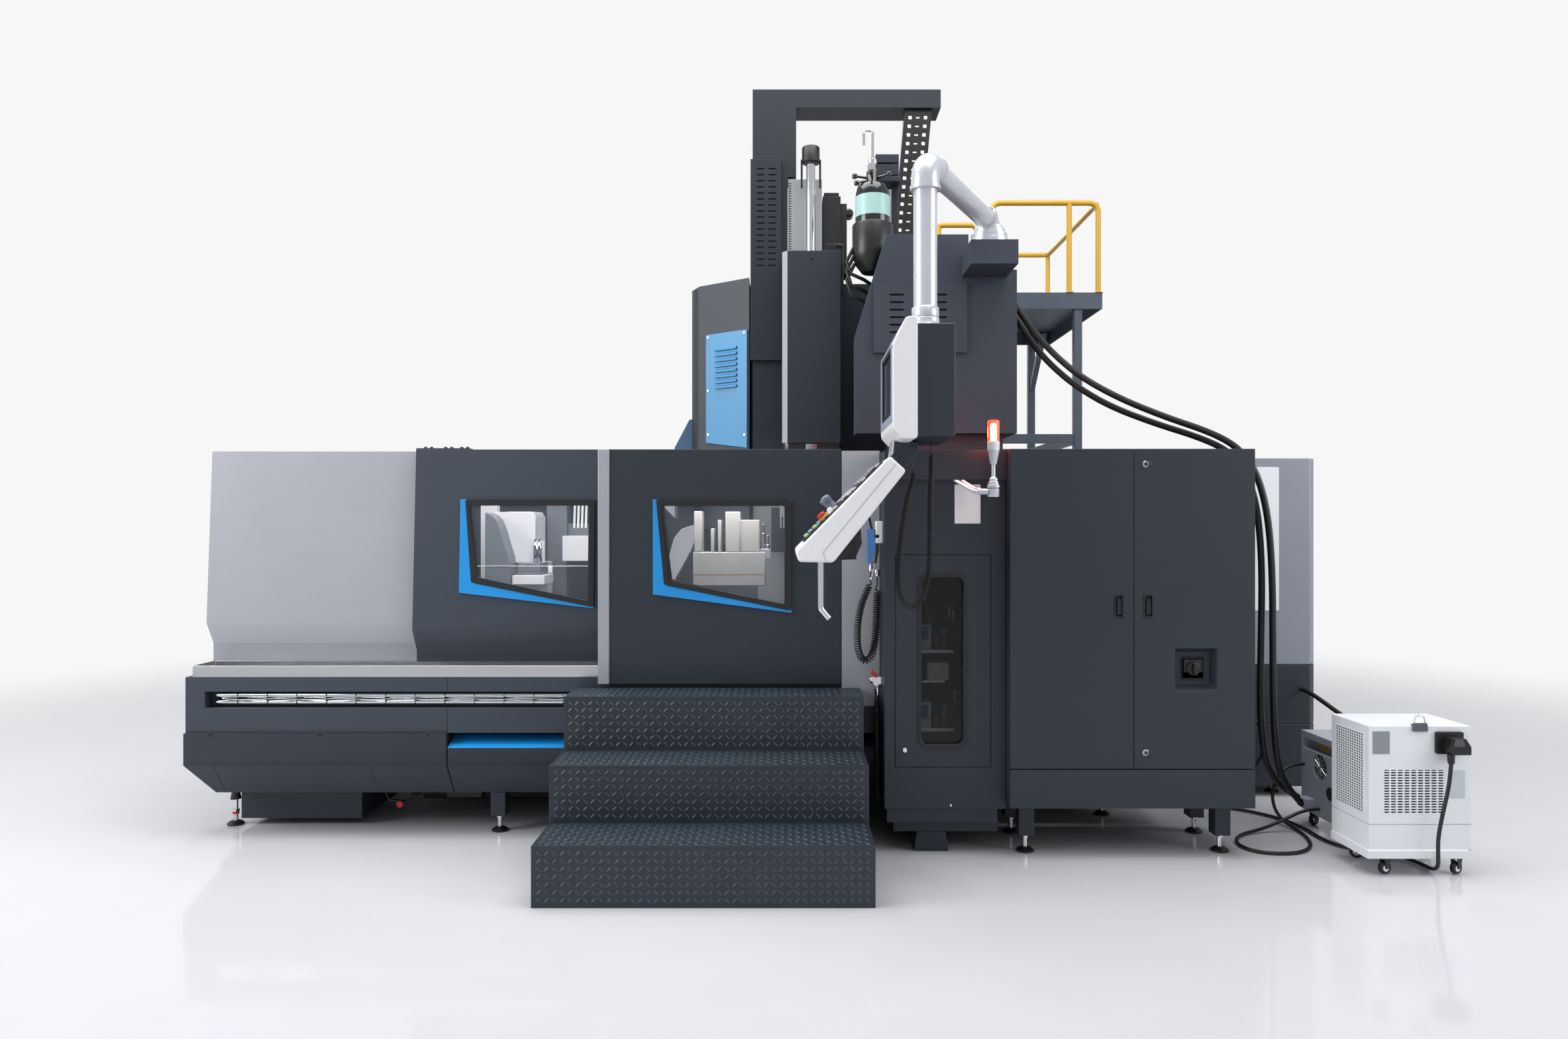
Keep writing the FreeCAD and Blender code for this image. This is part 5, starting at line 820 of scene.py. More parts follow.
AX, AY = 0.448, -0.76
seat = Shape()
seat.turn("z", AX, AY, [(0.046, 2.9), (0.06, 2.903), (0.092, 2.944), (0.108, 2.985), (0.112, 3.01),
    (0.112, 3.16), (0.108, 3.168), (0.098, 3.168)], 48)
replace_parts(seat.done("bottle_seat", PLASTIC), "accumulator")
bottle = Shape()
bottle.turn("z", AX, AY, [(0.095, 3.15), (0.095, 3.335), (0.091, 3.362), (0.078, 3.384),
    (0.058, 3.394), (0.04, 3.398), (0.036, 3.404), (0.036, 3.456), (0.032, 3.462)], 48)
for k in range(3):
    angle = math.radians(20 + 60 * k)
    c, s = math.cos(angle), math.sin(angle)
    bottle.pipe([(AX - 0.108 * c, AY - 0.108 * s, 3.424), (AX + 0.108 * c, AY + 0.108 * s, 3.424)],
        0.007)
    for way in (1, -1):
        bottle.turn("z", AX + way * 0.108 * c, AY + way * 0.108 * s,
            [(0.012, 3.412), (0.015, 3.416), (0.015, 3.432), (0.012, 3.436)], 16)
bottle.done("bottle", surface("bottle_gloss", "#141517", 0.16, grain=60, bump=0.02, coat=0.5))
Shape().turn("z", AX, AY, [(0.0956, 3.205), (0.0956, 3.318)], 48).done("bottle_band",
    surface("bottle_band", "#a9cfcb", 0.3, grain=60, bump=0.02, vary=0.03))
nut = Shape()
nut.turn("z", AX, AY, [(0.028, 3.458), (0.028, 3.5)], 6)
nut.turn("z", AX, AY, [(0.021, 3.5), (0.024, 3.504), (0.024, 3.526), (0.02, 3.53)])
nut.pipe(bent([(AX, AY, 3.52), (AX, AY, 3.69), (AX - 0.048, AY, 3.69), (AX - 0.048, AY, 3.61)],
    0.022), 0.0085, 20)
nut.done("bottle_fitting", CHROME)
arms = Shape()
arms.block((0.47, -0.7, 3.535, 0.6, -0.56, 3.583), (0.47, -0.7, 3.467, 0.6, -0.56, 3.527),
    (0.56, -0.69, 2.98, 0.6, -0.56, 3.585), (0.56, -0.69, 2.98, 0.72, -0.56, 3.06),
    (0.455, -0.775, 3.405, 0.6, -0.64, 3.433))
arms.done("bottle_brackets", CHARCOAL, bevel=0.003)
Shape().pipe([(0.47, -0.715, 3.455), (0.6, -0.64, 3.455)], 0.009).done("bottle_bar", GUIDE)
loops = Shape()
for k, low in enumerate((2.86, 2.8, 2.74)):
    loops.pipe([(AX - 0.1, AY - 0.02, 3.05 - 0.05 * k), (AX - 0.145, AY - 0.03, 2.96 - 0.05 * k),
        (AX - 0.12, AY - 0.035, low + 0.03), (AX - 0.05, AY - 0.03, low),
        (AX + 0.03, AY + 0.05, low - 0.03)], 0.01)
loops.done("bottle_pipes", RUBBER)

# ---- arm

arm = Shape()
ARM, ELBOW, TOP = (0.995, -1.21), (0.559, -2.003), 3.047
line = bent([(*ARM, 2.9575), (*ARM, TOP), (*ELBOW, TOP), (*ELBOW, 2.3868)], 0.08, 18)
arm.pipe(line, 0.05, 48)
way = (Vector((*ELBOW, TOP)) - Vector((*ARM, TOP))).normalized()


def knee(shape, corner, before, after, reach, radius):
    """A swollen elbow with a ring at each end."""
    line = bent([corner + before * (0.08 + reach), corner, corner + after * (0.08 + reach)], 0.08,
        18)
    shape.pipe(line, radius, 48)
    for side in (before, after):
        ring = corner + side * (0.08 + reach)
        shape.pipe([ring - side * 0.012, ring - side * 0.01, ring + side * 0.008,
            ring + side * 0.01], [radius, radius + 0.004, radius + 0.004, radius], 48)


knee(arm, Vector((*ELBOW, TOP)), -way, -UP, 0.028, 0.06)
knee(arm, Vector((*ARM, TOP)), way, -UP, -0.02, 0.058)
arm.turn("z", *ARM, [(0.089, 2.9572), (0.09, 2.96), (0.09, 2.978), (0.081, 2.982), (0.08, 3.0),
    (0.07, 3.005), (0.069, 3.016)], 56)
arm.turn("z", *ELBOW, [(0.056, 2.3868), (0.058, 2.391), (0.058, 2.43), (0.052, 2.436)], 48)
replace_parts(arm.done("arm_tube", SILVER, "arm", smooth=50), "swing_arm")
Shape().turn("z", *ARM, [(0.098, 2.9265), (0.098, 2.948), (0.0925, 2.952), (0.0925, 2.9562)],
    56).done("arm_flange", SILVER)

# ---- pendant


def carved(shape, cutter):
    """The first shape with the second taken out of it."""
    keep, take = [linked("raw", part.mesh("raw")) for part in (shape, cutter)]
    cut = keep.modifiers.new("cut", "BOOLEAN")
    cut.object, cut.solver = take, "EXACT"
    graph = bpy.context.evaluated_depsgraph_get()
    mesh = bpy.data.meshes.new_from_object(keep.evaluated_get(graph))
    result = Shape()
    result.bm.from_mesh(mesh)
    used = [keep.data, take.data, mesh]
    for item in (keep, take):
        bpy.data.objects.remove(item)
    for old in used:
        bpy.data.meshes.remove(old)
    return result


case, hollow = Shape(), Shape()
case.prism(round_corners([(0.395, 1.899), (0.436, 1.858), (0.494, 1.858), (0.494, 2.347),
    (0.448, 2.347), (0.395, 2.237)], 0.016, 6), "y", -2.248, -1.76)
hollow.block((0.39, -2.19, 1.96, 0.407, -1.818, 2.23))
case = carved(case, hollow)
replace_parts(case.done("pendant_case", WHITE, "pendant", bevel=0.007, steps=4), "pendant")
Shape().block((0.492, -2.223, 1.868, 0.65, -1.785, 2.325)).done("pendant_rear", CHARCOAL, "pendant",
    bevel=0.006, steps=3)
socket = Shape()
socket.turn("z", *ELBOW, [(0.068, 2.318), (0.07, 2.33), (0.07, 2.348), (0.064, 2.356),
    (0.06, 2.372), (0.059, 2.386)], 56)
socket.block((0.494, -2.07, 2.32, 0.56, -1.936, 2.344))
socket.done("pendant_socket", SILVER, "pendant", bevel=0.002)
bezel, lip, grip = Shape(), Shape(), Shape()


def side_band(shape, outer, inner, back, front):
    """A flat frame on a face that looks to the left: outlines are (y, z)."""
    rings = [[Vector((x, y, z)) for y, z in outline] for outline, x in ((outer, back),
        (outer, front), (inner, front), (inner, back))]
    shape.skin([*rings, rings[0]], capped=False)


side_band(bezel, rounded(-2.222, -1.786, 1.928, 2.244, 0.012),
    rounded(-2.192, -1.816, 1.958, 2.232, 0.006), 0.3965, 0.3915)
bezel.done("screen_bezel", surface("bezel_grey", "#9aa3b0", 0.35, grain=400, bump=0.05), "pendant",
    bevel=0.0012)
side_band(lip, rounded(-2.19, -1.818, 1.96, 2.23, 0.004),
    rounded(-2.176, -1.832, 1.974, 2.216, 0.004), 0.402, 0.3945)
lip.done("screen_lip", BLACK, "pendant", bevel=0.0008)
grip.prism(rounded(-2.1, -1.9, -0.016, 0.016, 0.015), "x", 0, 0.0045)
grip.moved(Matrix.Translation((0.4185, 0, 2.292)) @ Matrix.Rotation(math.atan2(0.053, 0.11), 4,
    "Y"))
grip.done("pendant_grip", surface("grip_grey", "#8d929a", 0.4, grain=200), "pendant", bevel=0.001)
joint = Shape()
joint.prism([(0.42, 1.862), (0.522, 1.862), (0.522, 1.818), (0.496, 1.772), (0.462, 1.752),
    (0.416, 1.752), (0.404, 1.778), (0.416, 1.81)], "y", -2.0642, -1.9198)
joint.done("pendant_hinge", CHARCOAL, "pendant", bevel=0.004)
Shape().prism([(0.4165, 1.864), (0.4215, 1.864), (0.417, 1.812), (0.4095, 1.803)], "y", -2.0646,
    -1.9194).done("hinge_edge", SILVER, "pendant", bevel=0.001)

# ---- keyboard

slab = Shape()
slab.prism(round_corners([(0.007, 1.408), (0.018, 1.365), (0.156, 1.362), (0.447, 1.729),
    (0.382, 1.788)], 0.014, 5), "y", -2.262, -1.722)
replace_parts(slab.done("keyboard_case", WHITE, "keyboard", bevel=0.008, steps=4), "keyboard")
SLOPE = math.atan2(0.38, 0.375)
DESK = Matrix.Translation((0.007, 0, 1.408)) @ Matrix.Rotation(-SLOPE, 4, "Y")
# in this frame x runs up the slope, y across it and z stands out from it
Shape().prism(rounded(0.05, 0.5, -2.243, -1.741, 0.016), "z", -0.002,
    0.006).moved(DESK).done("key_panel", BLACK, "keyboard", bevel=0.0015)
KEY_TONES = {"pale": surface("key_pale", "#d9dadd", 0.4, grain=300),
    "dark": surface("key_dark", "#3a3d43", 0.4, grain=300), "green": GREEN, "yellow": YELLOW,
    "red": RED, "blue": surface("key_blue", "#3f86c6", 0.35, grain=300)}
keys = {tone: Shape() for tone in KEY_TONES}
for i in range(16):
    for j in range(17):
        along, across = 0.078 + 0.0265 * i, -2.222 + 0.0288 * j
        if math.hypot(along - 0.178, across + 2.122) < 0.048:
            continue
        if math.hypot(along - 0.24, across + 2.012) < 0.052:
            continue
        if i in (7, 11) or (i > 11 and j in (5, 11)) or (i < 7 and j == 12):
            continue
        tone = "pale"
        if i > 11:
            tone = "dark" if (i + 2 * j) % 3 else "pale"
        elif i < 4:
            tone = ("green", "pale", "yellow", "dark", "pale", "blue")[(3 * i + 2 * j) % 6]
        elif (i * 5 + j * 3) % 11 == 0:
            tone = "red"
        elif (i + j) % 4 == 0:
            tone = "dark"
        keys[tone].prism(rounded(along - 0.0098, along + 0.0098, across - 0.0112, across + 0.0112,
            0.002, 2), "z", 0.004, 0.0125)
for tone, shape in keys.items():
    shape.moved(DESK).done(f"keys_{tone}", KEY_TONES[tone], "keyboard", bevel=0.0012, steps=1)
Shape().prism(rounded(0.395, 0.488, -2.225, -2.115, 0.004), "z", 0.005,
    0.008).moved(DESK).done("key_display", SCREEN, "keyboard", bevel=0.0006)
Shape().turn("z", 0.178, -2.122, [(0.027, 0.004), (0.027, 0.012), (0.0245, 0.0185),
    (0.0209, 0.0185), (0.0206, 0.0075)], 36).moved(DESK).done("stop_ring", YELLOW, "keyboard")
stop = Shape()
stop.turn("z", 0.178, -2.122, [(0.0095, 0.0155), (0.0095, 0.016), (0.0185, 0.017), (0.02, 0.02),
    (0.02, 0.027), (0.0185, 0.032), (0.013, 0.0355), (0.006, 0.0365)], 36)
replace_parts(stop.moved(DESK).done("stop_button", RED, "emergency_stop"), "emergency_stop")
dial = Shape()
dial.turn("z", 0.24, -2.012, [(0.012, 0.0063), (0.012, 0.0085), (0.024, 0.0085), (0.027, 0.012),
    (0.0255, 0.02), (0.0215, 0.03), (0.0225, 0.042), (0.0262, 0.055), (0.0262, 0.063),
    (0.0225, 0.0695), (0.013, 0.073), (0.004, 0.074)], 40)
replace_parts(dial.moved(DESK).done("override_dial", surface("dial_grey", "#6f7b89", 0.16, grain=60,
    bump=0.02, coat=0.4), "override_knob"), "override_knob")
Shape().turn("z", 0.215, -2.185, [(0.01, 0.004), (0.012, 0.006), (0.012, 0.022),
    (0.008, 0.027)]).moved(DESK).done("key_lamp", WHITE, "keyboard")
seam = Shape()
seam.pipe(bent([(0.13, -2.2622, 1.3655), (0.114, -2.2622, 1.402), (0.4055, -2.2622, 1.7555)], 0.02),
    0.0011, 8)
seam.done("keyboard_seam", surface("seam_grey", "#9a9ca1", 0.6, grain=260), "keyboard")
under_key = Shape()
under_key.prism([(0.184, 1.403), (0.278, 1.522), (0.286, 1.438), (0.256, 1.37), (0.201, 1.367)],
    "y", -2.072, -1.922)
for k in range(5):
    under_key.block((0.21 + 0.012 * k, -2.076, 1.3685, 0.214 + 0.012 * k, -1.918, 1.4 + 0.01 * k))
under_key.turn("y", 0.262, 1.455, [(0.017, -2.082), (0.02, -2.079), (0.02, -2.071)])
for near in (-2.098, -1.918):
    under_key.prism([(0.394, 1.77), (0.428, 1.74), (0.446, 1.767), (0.449, 1.783), (0.437, 1.794),
        (0.42, 1.792)], "y", near, near + 0.032)
under_key.done("keyboard_device", BLACK, "keyboard", bevel=0.002)
Shape().pipe(bent([(0.116, -2.01, 1.366), (0.116, -2.01, 1.157), (0.15, -2.01, 1.117)], 0.035),
    0.0142, 28).done("grab_bar", CHROME, "keyboard")

# ---- signal lamp

LX, LY = 0.902, -1.75
cup = Shape()
cup.turn("z", LX, LY, [(0.024, 1.64), (0.026, 1.643), (0.026, 1.676), (0.02, 1.679), (0.028, 1.682),
    (0.028, 1.694), (0.023, 1.697), (0.023, 1.708), (0.019, 1.711), (0.019, 1.722), (0.014, 1.728),
    (0.009, 1.732), (0.009, 1.784), (0.0145, 1.786), (0.026, 1.846), (0.026, 1.852)], 36)
cup.pipe([(0.876, -1.75, 1.664), (0.845, -1.75, 1.664), (0.838, -1.745, 1.664)], 0.014)
cup.pipe(bent([(0.848, -1.75, 1.664), (0.82, -1.745, 1.664), (0.742, -1.661, 1.722)], 0.02), 0.009)
cup.pipe(bent([(0.848, -1.742, 1.674), (0.825, -1.735, 1.676), (0.77, -1.661, 1.724)], 0.02), 0.007)
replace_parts(cup.done("lamp_stem", SILVER), "signal_lamp")
Shape().turn("z", LX, LY, [(0.0265, 1.85), (0.0275, 1.852), (0.0275, 1.888), (0.025, 1.89)],
    36).done("lamp_collar", WHITE)
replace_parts(Shape().turn("z", LX, LY, [(0.026, 1.889), (0.026, 1.978), (0.0235, 1.984),
    (0.015, 1.986)], 36).done("lamp_hood", LENS), "lamp_lens")
Shape().turn("z", LX, LY, [(0.013, 1.8895), (0.014, 1.9), (0.014, 1.962), (0.01, 1.972)],
    28).done("lamp_core", HOT)

# ---- air gun and valve

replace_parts(Shape().block((0.388, -1.592, 1.43, 0.4205, -1.53, 1.532)).done("gun_bracket", WHITE,
    bevel=0.003), "air_fittings")
handle = Shape()
handle.prism(round_corners([(0.348, 1.5), (0.384, 1.492), (0.39, 1.425), (0.378, 1.352),
    (0.35, 1.33)], 0.008), "y", -1.576, -1.546)
handle.done("gun_handle", surface("handle_blue", "#4f80bf", 0.35, grain=300), bevel=0.005, steps=3)
frame_gun = Shape()
frame_gun.prism([(0.384, 1.496), (0.398, 1.47), (0.404, 1.4), (0.392, 1.335), (0.384, 1.335),
    (0.391, 1.4)], "y", -1.583, -1.541)
frame_gun.pipe(bent([(0.374, -1.561, 1.488), (0.36, -1.561, 1.545), (0.346, -1.561, 1.56)], 0.01),
    0.006)
frame_gun.turn("y", 0.396, 1.462, [(0.01, -1.592), (0.013, -1.588), (0.013, -1.54)])
frame_gun.done("gun_frame", PLASTIC, bevel=0.002)
rods = Shape()
rods.pipe([(0.389, -1.572, 1.345), (0.37, -1.561, 1.258)], 0.004)
rods.pipe([(0.377, -1.55, 1.345), (0.368, -1.561, 1.258)], 0.004)
rods.turn("z", 0.367, -1.56, [(0.009, 1.296), (0.009, 1.318), (0.006, 1.322), (0.006, 1.34)])
rods.turn("z", 0.398, -1.56, [(0.011, 0.716), (0.014, 0.72), (0.014, 0.756), (0.018, 0.76),
    (0.018, 0.772)], 24)
rods.block((0.376, -1.58, 0.77, 0.4205, -1.54, 0.806))
rods.turn("x", -1.56, 0.788, [(0.013, 0.362), (0.015, 0.365), (0.015, 0.378)], 24)
rods.turn("z", 0.401, -1.525, [(0.012, 1.272), (0.014, 1.276), (0.014, 1.3), (0.01, 1.306)])
rods.done("air_valve", CHROME, bevel=0.001)
Shape().prism([(0.36, 0.828), (0.39, 0.8), (0.4, 0.812), (0.368, 0.84)], "y", -1.59,
    -1.58).done("valve_lever", RED, bevel=0.003)
coil = Shape()
turns = [(0.398 + 0.013 * math.cos(a), -1.56 + 0.013 * math.sin(a), 0.712 - 0.0105 * a / math.tau)
    for a in (math.tau * k / 12 for k in range(12 * 44))]
coil.pipe(turns, 0.0034, 7)
coil.pipe([(0.398, -1.56, 0.716), (0.398, -1.56, 0.24), (0.425, -1.545, 0.222)], 0.009)
coil.done("spring_guard", PLASTIC)

# ---- railing and platform

rail = Shape()
R_TOP, R_DECK, R_TUBE, R_POST, R_BACK = 3.845, 3.195, 0.0198, 2.017, 1.434
R_FRONT, R_REAR, R_SIDE, R_GATE, R_INNER = 0.914, 2.266, 2.226, 1.457, 1.158
rail.pipe(bent([(R_GATE, R_FRONT, R_DECK), (R_GATE, R_FRONT, R_TOP), (R_SIDE, R_FRONT, R_TOP),
    (R_SIDE, R_FRONT, R_DECK)], 0.075, 12), R_TUBE, 24)
rail.pipe([(R_SIDE - 0.014, R_FRONT, R_TOP - 0.014), (R_SIDE - 0.006, R_FRONT + 0.05,
    R_TOP - 0.006), (R_SIDE, R_FRONT + 0.12, R_TOP)], R_TUBE, 24)
rail.pipe(bent([(R_SIDE, R_FRONT + 0.115, R_TOP), (R_SIDE, R_REAR, R_TOP), (R_INNER, R_REAR, R_TOP),
    (R_INNER, R_BACK, R_TOP), (R_GATE, R_BACK, R_TOP), (R_GATE, R_BACK, R_DECK)], 0.06, 10), R_TUBE,
    24)
for x, y in ((R_POST, R_FRONT), (R_SIDE, R_REAR), (R_INNER, R_REAR), (R_INNER, R_BACK)):
    rail.pipe([(x, y, R_DECK), (x, y, R_TOP)], R_TUBE, 24)
for x, y in ((R_GATE, R_FRONT), (R_POST, R_FRONT), (R_SIDE, R_FRONT), (R_SIDE, R_REAR),
        (R_INNER, R_REAR), (R_INNER, R_BACK), (R_GATE, R_BACK)):
    rail.turn("z", x, y, [(0.034, 3.1955), (0.034, 3.2), (0.022, 3.204)], 24)
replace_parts(rail.done("railing_tubes", YELLOW), "railing")

# ---- chiller

CHILLER_FRONT = -1.94
bars = Shape()
for k in range(18):
    z = 0.2715 + 0.01133 * k
    bars.block((2.543, -1.9404, z - 0.0024, 2.809, -1.933, z + 0.0024))
bars.done("grille_bars", PLATE, bevel=0.0006, steps=1)
Shape().block((2.546, -1.9315, 0.2735, 2.806, -1.929, 0.4585)).done("grille_shade", DARK)
LEFT = on_panel(-math.pi / 2, (2.477, 0, 0))
mesh_side, mesh_shade = Shape(), Shape()
pierced(mesh_side, (1.69, 1.905, 0.262, 0.612), (1.694, 1.901, 0.266, 0.608), 12, 30,
    (0.0062, 0.0036), 0.0022, LEFT, shift=0.0014, sides=6)
mesh_side.done("chiller_mesh", PLATE)
mesh_shade.block((2.4764, -1.904, 0.263, 2.4772, -1.691, 0.611))
mesh_shade.done("chiller_mesh_shade", DARK)
trim = Shape()
trim.block((2.4762, -1.9408, 0.2246, 2.918, -1.9392, 0.2262),
    (2.4762, -1.9408, 0.2246, 2.4778, -1.653, 0.2262), (2.4764, -1.9405, 0.1135, 2.917, -1.9392,
    0.1155))
trim.done("chiller_seams", surface("seam_shadow", "#8e9299", 0.6, grain=260))
plate_on(Shape(), rounded(2.4935, 2.5665, 0.528, 0.6255, 0.002), CHILLER_FRONT,
    0.0012).done("chiller_plate_grey", surface("plate_grey", "#878e97", 0.5, grain=300))
plate_on(Shape(), rounded(2.821, 2.891, 0.338, 0.4575, 0.002), CHILLER_FRONT,
    0.0012).done("chiller_plate_pale", surface("plate_pale", "#c4ccd4", 0.4, grain=300))
bail = Shape()
bail.prism(round_corners([(2.6625, 0.626), (2.729, 0.626), (2.726, 0.662), (2.665, 0.662)], 0.006),
    "y", -1.9475, -1.938)
bail.block((2.667, -1.944, 0.645, 2.724, -1.925, 0.655))
bail.done("bail_clip", surface("clip_grey", "#565c64", 0.35, grain=300), bevel=0.0015)
Shape().pipe(bent([(2.669, -1.94, 0.655), (2.68, -1.94, 0.6935), (2.711, -1.94, 0.6935),
    (2.722, -1.94, 0.655)], 0.012), 0.0035, 14).done("bail_loop", CHROME)
plug = Shape()
plug.prism(rounded(2.76, 2.878, 0.53, 0.625, 0.008), "y", -1.9525, -1.938)
plug.prism(round_corners([(2.784, 0.548), (2.8, 0.536), (2.878, 0.536), (2.878, 0.57),
    (2.855, 0.606), (2.8, 0.606)], 0.006), "y", -2.0, -1.95)
plug.turn("z", 2.803, -1.982, [(0.01, 0.494), (0.012, 0.496), (0.014, 0.53), (0.016, 0.537)], 24)
for k in range(4):
    plug.turn("z", 2.803, -1.982, [(0.015, 0.503 + 0.008 * k), (0.015, 0.507 + 0.008 * k)], 24)
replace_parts(plug.done("plug_and_socket", PLASTIC, bevel=0.0025, steps=3), "chiller_plug")
grip = Shape()
grip.prism(round_corners([(2.8, 0.572), (2.85, 0.572), (2.842, 0.602), (2.808, 0.602)], 0.006), "y",
    -2.0035, -1.999)
grip.done("plug_grip", surface("plug_grey", "#4d4e50", 0.5, grain=260), bevel=0.001)

# ---- service unit and casters

tape = Shape()
for k in range(7):
    y = 1.22 + 0.055 * k
    tape.prism([(y, 0.39), (y + 0.036, 0.39), (y + 0.046, 0.428), (y + 0.01, 0.428)], "y", -0.001,
        0.001)
tape.moved(on_panel(-math.pi / 2, (2.6475, 0, 0)))
tape.done("unit_stripes", YELLOW)
rose, rose_back = Shape(), Shape()
rose_back.turn("x", -1.313, 0.318, [(0.06, 2.6155), (0.06, 2.6158)], 40)
for radius in (0.012, 0.026, 0.04, 0.054):
    ring = [(2.612, -1.313 + radius * math.cos(a), 0.318 + radius * math.sin(a))
        for a in (math.tau * k / 32 for k in range(33))]
    rose.pipe(ring, 0.0022, 8)
for k in range(6):
    a = math.pi * k / 6
    rose.pipe([(2.6115, -1.313 - 0.06 * math.cos(a), 0.318 - 0.06 * math.sin(a)),
        (2.6115, -1.313 + 0.06 * math.cos(a), 0.318 + 0.06 * math.sin(a))], 0.0018, 8)
rose.done("fan_guard", CHROME)
rose_back.done("fan_shade", DARK)
# A dark disc where the round inlet opens, standing in for the shade inside it: painted shade.
Shape().turn("x", -1.406, 0.21, [(0.0312, 2.606), (0.0312, 2.64)], 32).done("unit_inlet_painted_shade",
    DARK)

wheels, hubs, forks = Shape(), Shape(), Shape()


def caster(x, y, top, angle):
    """A swivelling wheel with its chrome hub, in a fork under a plate."""
    starts = [len(shape.bm.verts) for shape in (wheels, hubs, forks)]
    wheels.turn("y", 0, 0.028, [(0.022, -0.01), (0.0272, -0.008), (0.028, -0.003), (0.028, 0.003),
        (0.0272, 0.008), (0.022, 0.01)], 32)
    hubs.turn("y", 0, 0.028, [(0.005, -0.0125), (0.013, -0.0115), (0.0165, -0.0095),
        (0.0165, 0.0095), (0.013, 0.0115), (0.005, 0.0125)], 28)
    for way in (-1, 1):
        forks.prism([(-0.014, top - 0.006), (0.022, top - 0.006), (0.006, 0.026), (-0.006, 0.024)],
            "y", way * 0.0145 - 0.0015, way * 0.0145 + 0.0015)
    forks.turn("z", 0.004, 0, [(0.019, top - 0.01), (0.024, top - 0.005), (0.024, top)], 24)
    place = Matrix.Translation((x, y, 0)) @ Matrix.Rotation(angle, 4, "Z")
    for shape, start in zip((wheels, hubs, forks), starts):
        shape.moved(place, start)


for x, y, turn in ((2.566, -1.905, 12), (2.876, -1.905, 20), (2.566, -1.693, -15),
        (2.876, -1.693, 8)):
    caster(x, y, 0.08, math.radians(turn))
for x, y, turn in ((2.64, -1.56, 14), (2.9, -1.56, -8), (2.64, -1.2, 24), (2.9, -1.2, 4)):
    caster(x, y, 0.071, math.radians(turn))
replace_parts(wheels.done("caster_wheels", PLASTIC), "casters")
hubs.done("caster_hubs", CHROME)
forks.done("caster_forks", BLACK, bevel=0.001)

# ---- dark backing, and painted highlights on the chain links

backing = Shape()
backing.prism([(0.32, -0.06), (0.66, -0.06), (0.66, 0.4), (0.32, 0.4)], "z", 1.4, 3.02)
backing.prism([(0.292, -0.3), (0.312, -0.3), (0.312, -0.05), (0.292, -0.05)], "z", 1.9, 2.88)
backing.done("column_side_cover", CHARCOAL, bevel=0.004)
nose = Shape()
nose.turn("z", 0.118, -0.42, [(0.06, 1.8905), (0.07, 1.894), (0.07, 1.95), (0.09, 1.956),
    (0.09, 1.985)], 40)
for x in (-0.02, 0.03, 0.2, 0.25):
    nose.turn("z", x, -0.49, [(0.01, 1.95), (0.013, 1.954), (0.013, 1.9895)], 18)
nose.done("ram_nose", MACHINED, "head")
# Pale patches on the cable chain's links stand in for the light they catch: painted highlights.
glints = Shape()
CHAIN_TOP, CHAIN_LOW, CHAIN_LEAN, CHAIN_LEFT = 4.016, 2.55, 0.134, 0.686
for i in range(15):
    drop = 0.04 + 0.052 * i
    left = CHAIN_LEFT - CHAIN_LEAN * drop / (CHAIN_TOP - CHAIN_LOW)
    for across in (0.024, 0.117):
        x, z = left + across, CHAIN_TOP - drop
        glints.block((x + 0.001, -0.2715, z - 0.021, x + 0.021, -0.262, z - 0.001))
    glints.block((left + 0.07, -0.2712, z - 0.016, left + 0.092, -0.2695, z - 0.008))
glints.done("chain_link_painted_highlights", surface("link_painted_highlight", "#e8e8e6", 0.5, grain=300), bevel=0.001)

# ---- what shows through the windows

posts, marks = Shape(), Shape()
for left, right, tall in ((-0.512, -0.473, 0.215), (-0.424, -0.409, 0.124), (-0.387, -0.372, 0.169),
        (-0.347, -0.272, 0.213), (-0.27, -0.169, 0.169)):
    posts.block((left - 0.001, -1.0065, 1.373, right + 0.001, -0.8635, 1.374 + tall))
posts.block((-0.518, -1.007, 1.197, -0.138, -0.863, 1.3742))
posts.done("fixture_covers", surface("fixture_steel", "#bdbbb8", 0.42, 0.15, grain=300, bump=0.08),
    "table", bevel=0.004)
marks.block((-0.519, -1.008, 1.256, -0.137, -1.0065, 1.26))
for x in (-0.268, -0.173):
    marks.block((x, -1.0085, 1.376, x + 0.004, -1.0065, 1.54))
marks.done("fixture_edges", surface("tan_edge", "#b79a72", 0.5, grain=260), "table")
nozzles = Shape()
for x, z in ((-0.176, 1.43), (-0.15, 1.47), (-0.126, 1.41)):
    nozzles.turn("z", x, -0.95, [(0.008, 1.385), (0.012, 1.39), (0.012, z), (0.007, z + 0.004),
        (0.007, z + 0.05)])
nozzles.block((-0.19, -0.985, 1.34, -0.11, -0.915, 1.39))
nozzles.done("fixture_nozzles", CHROME, "table", bevel=0.001)

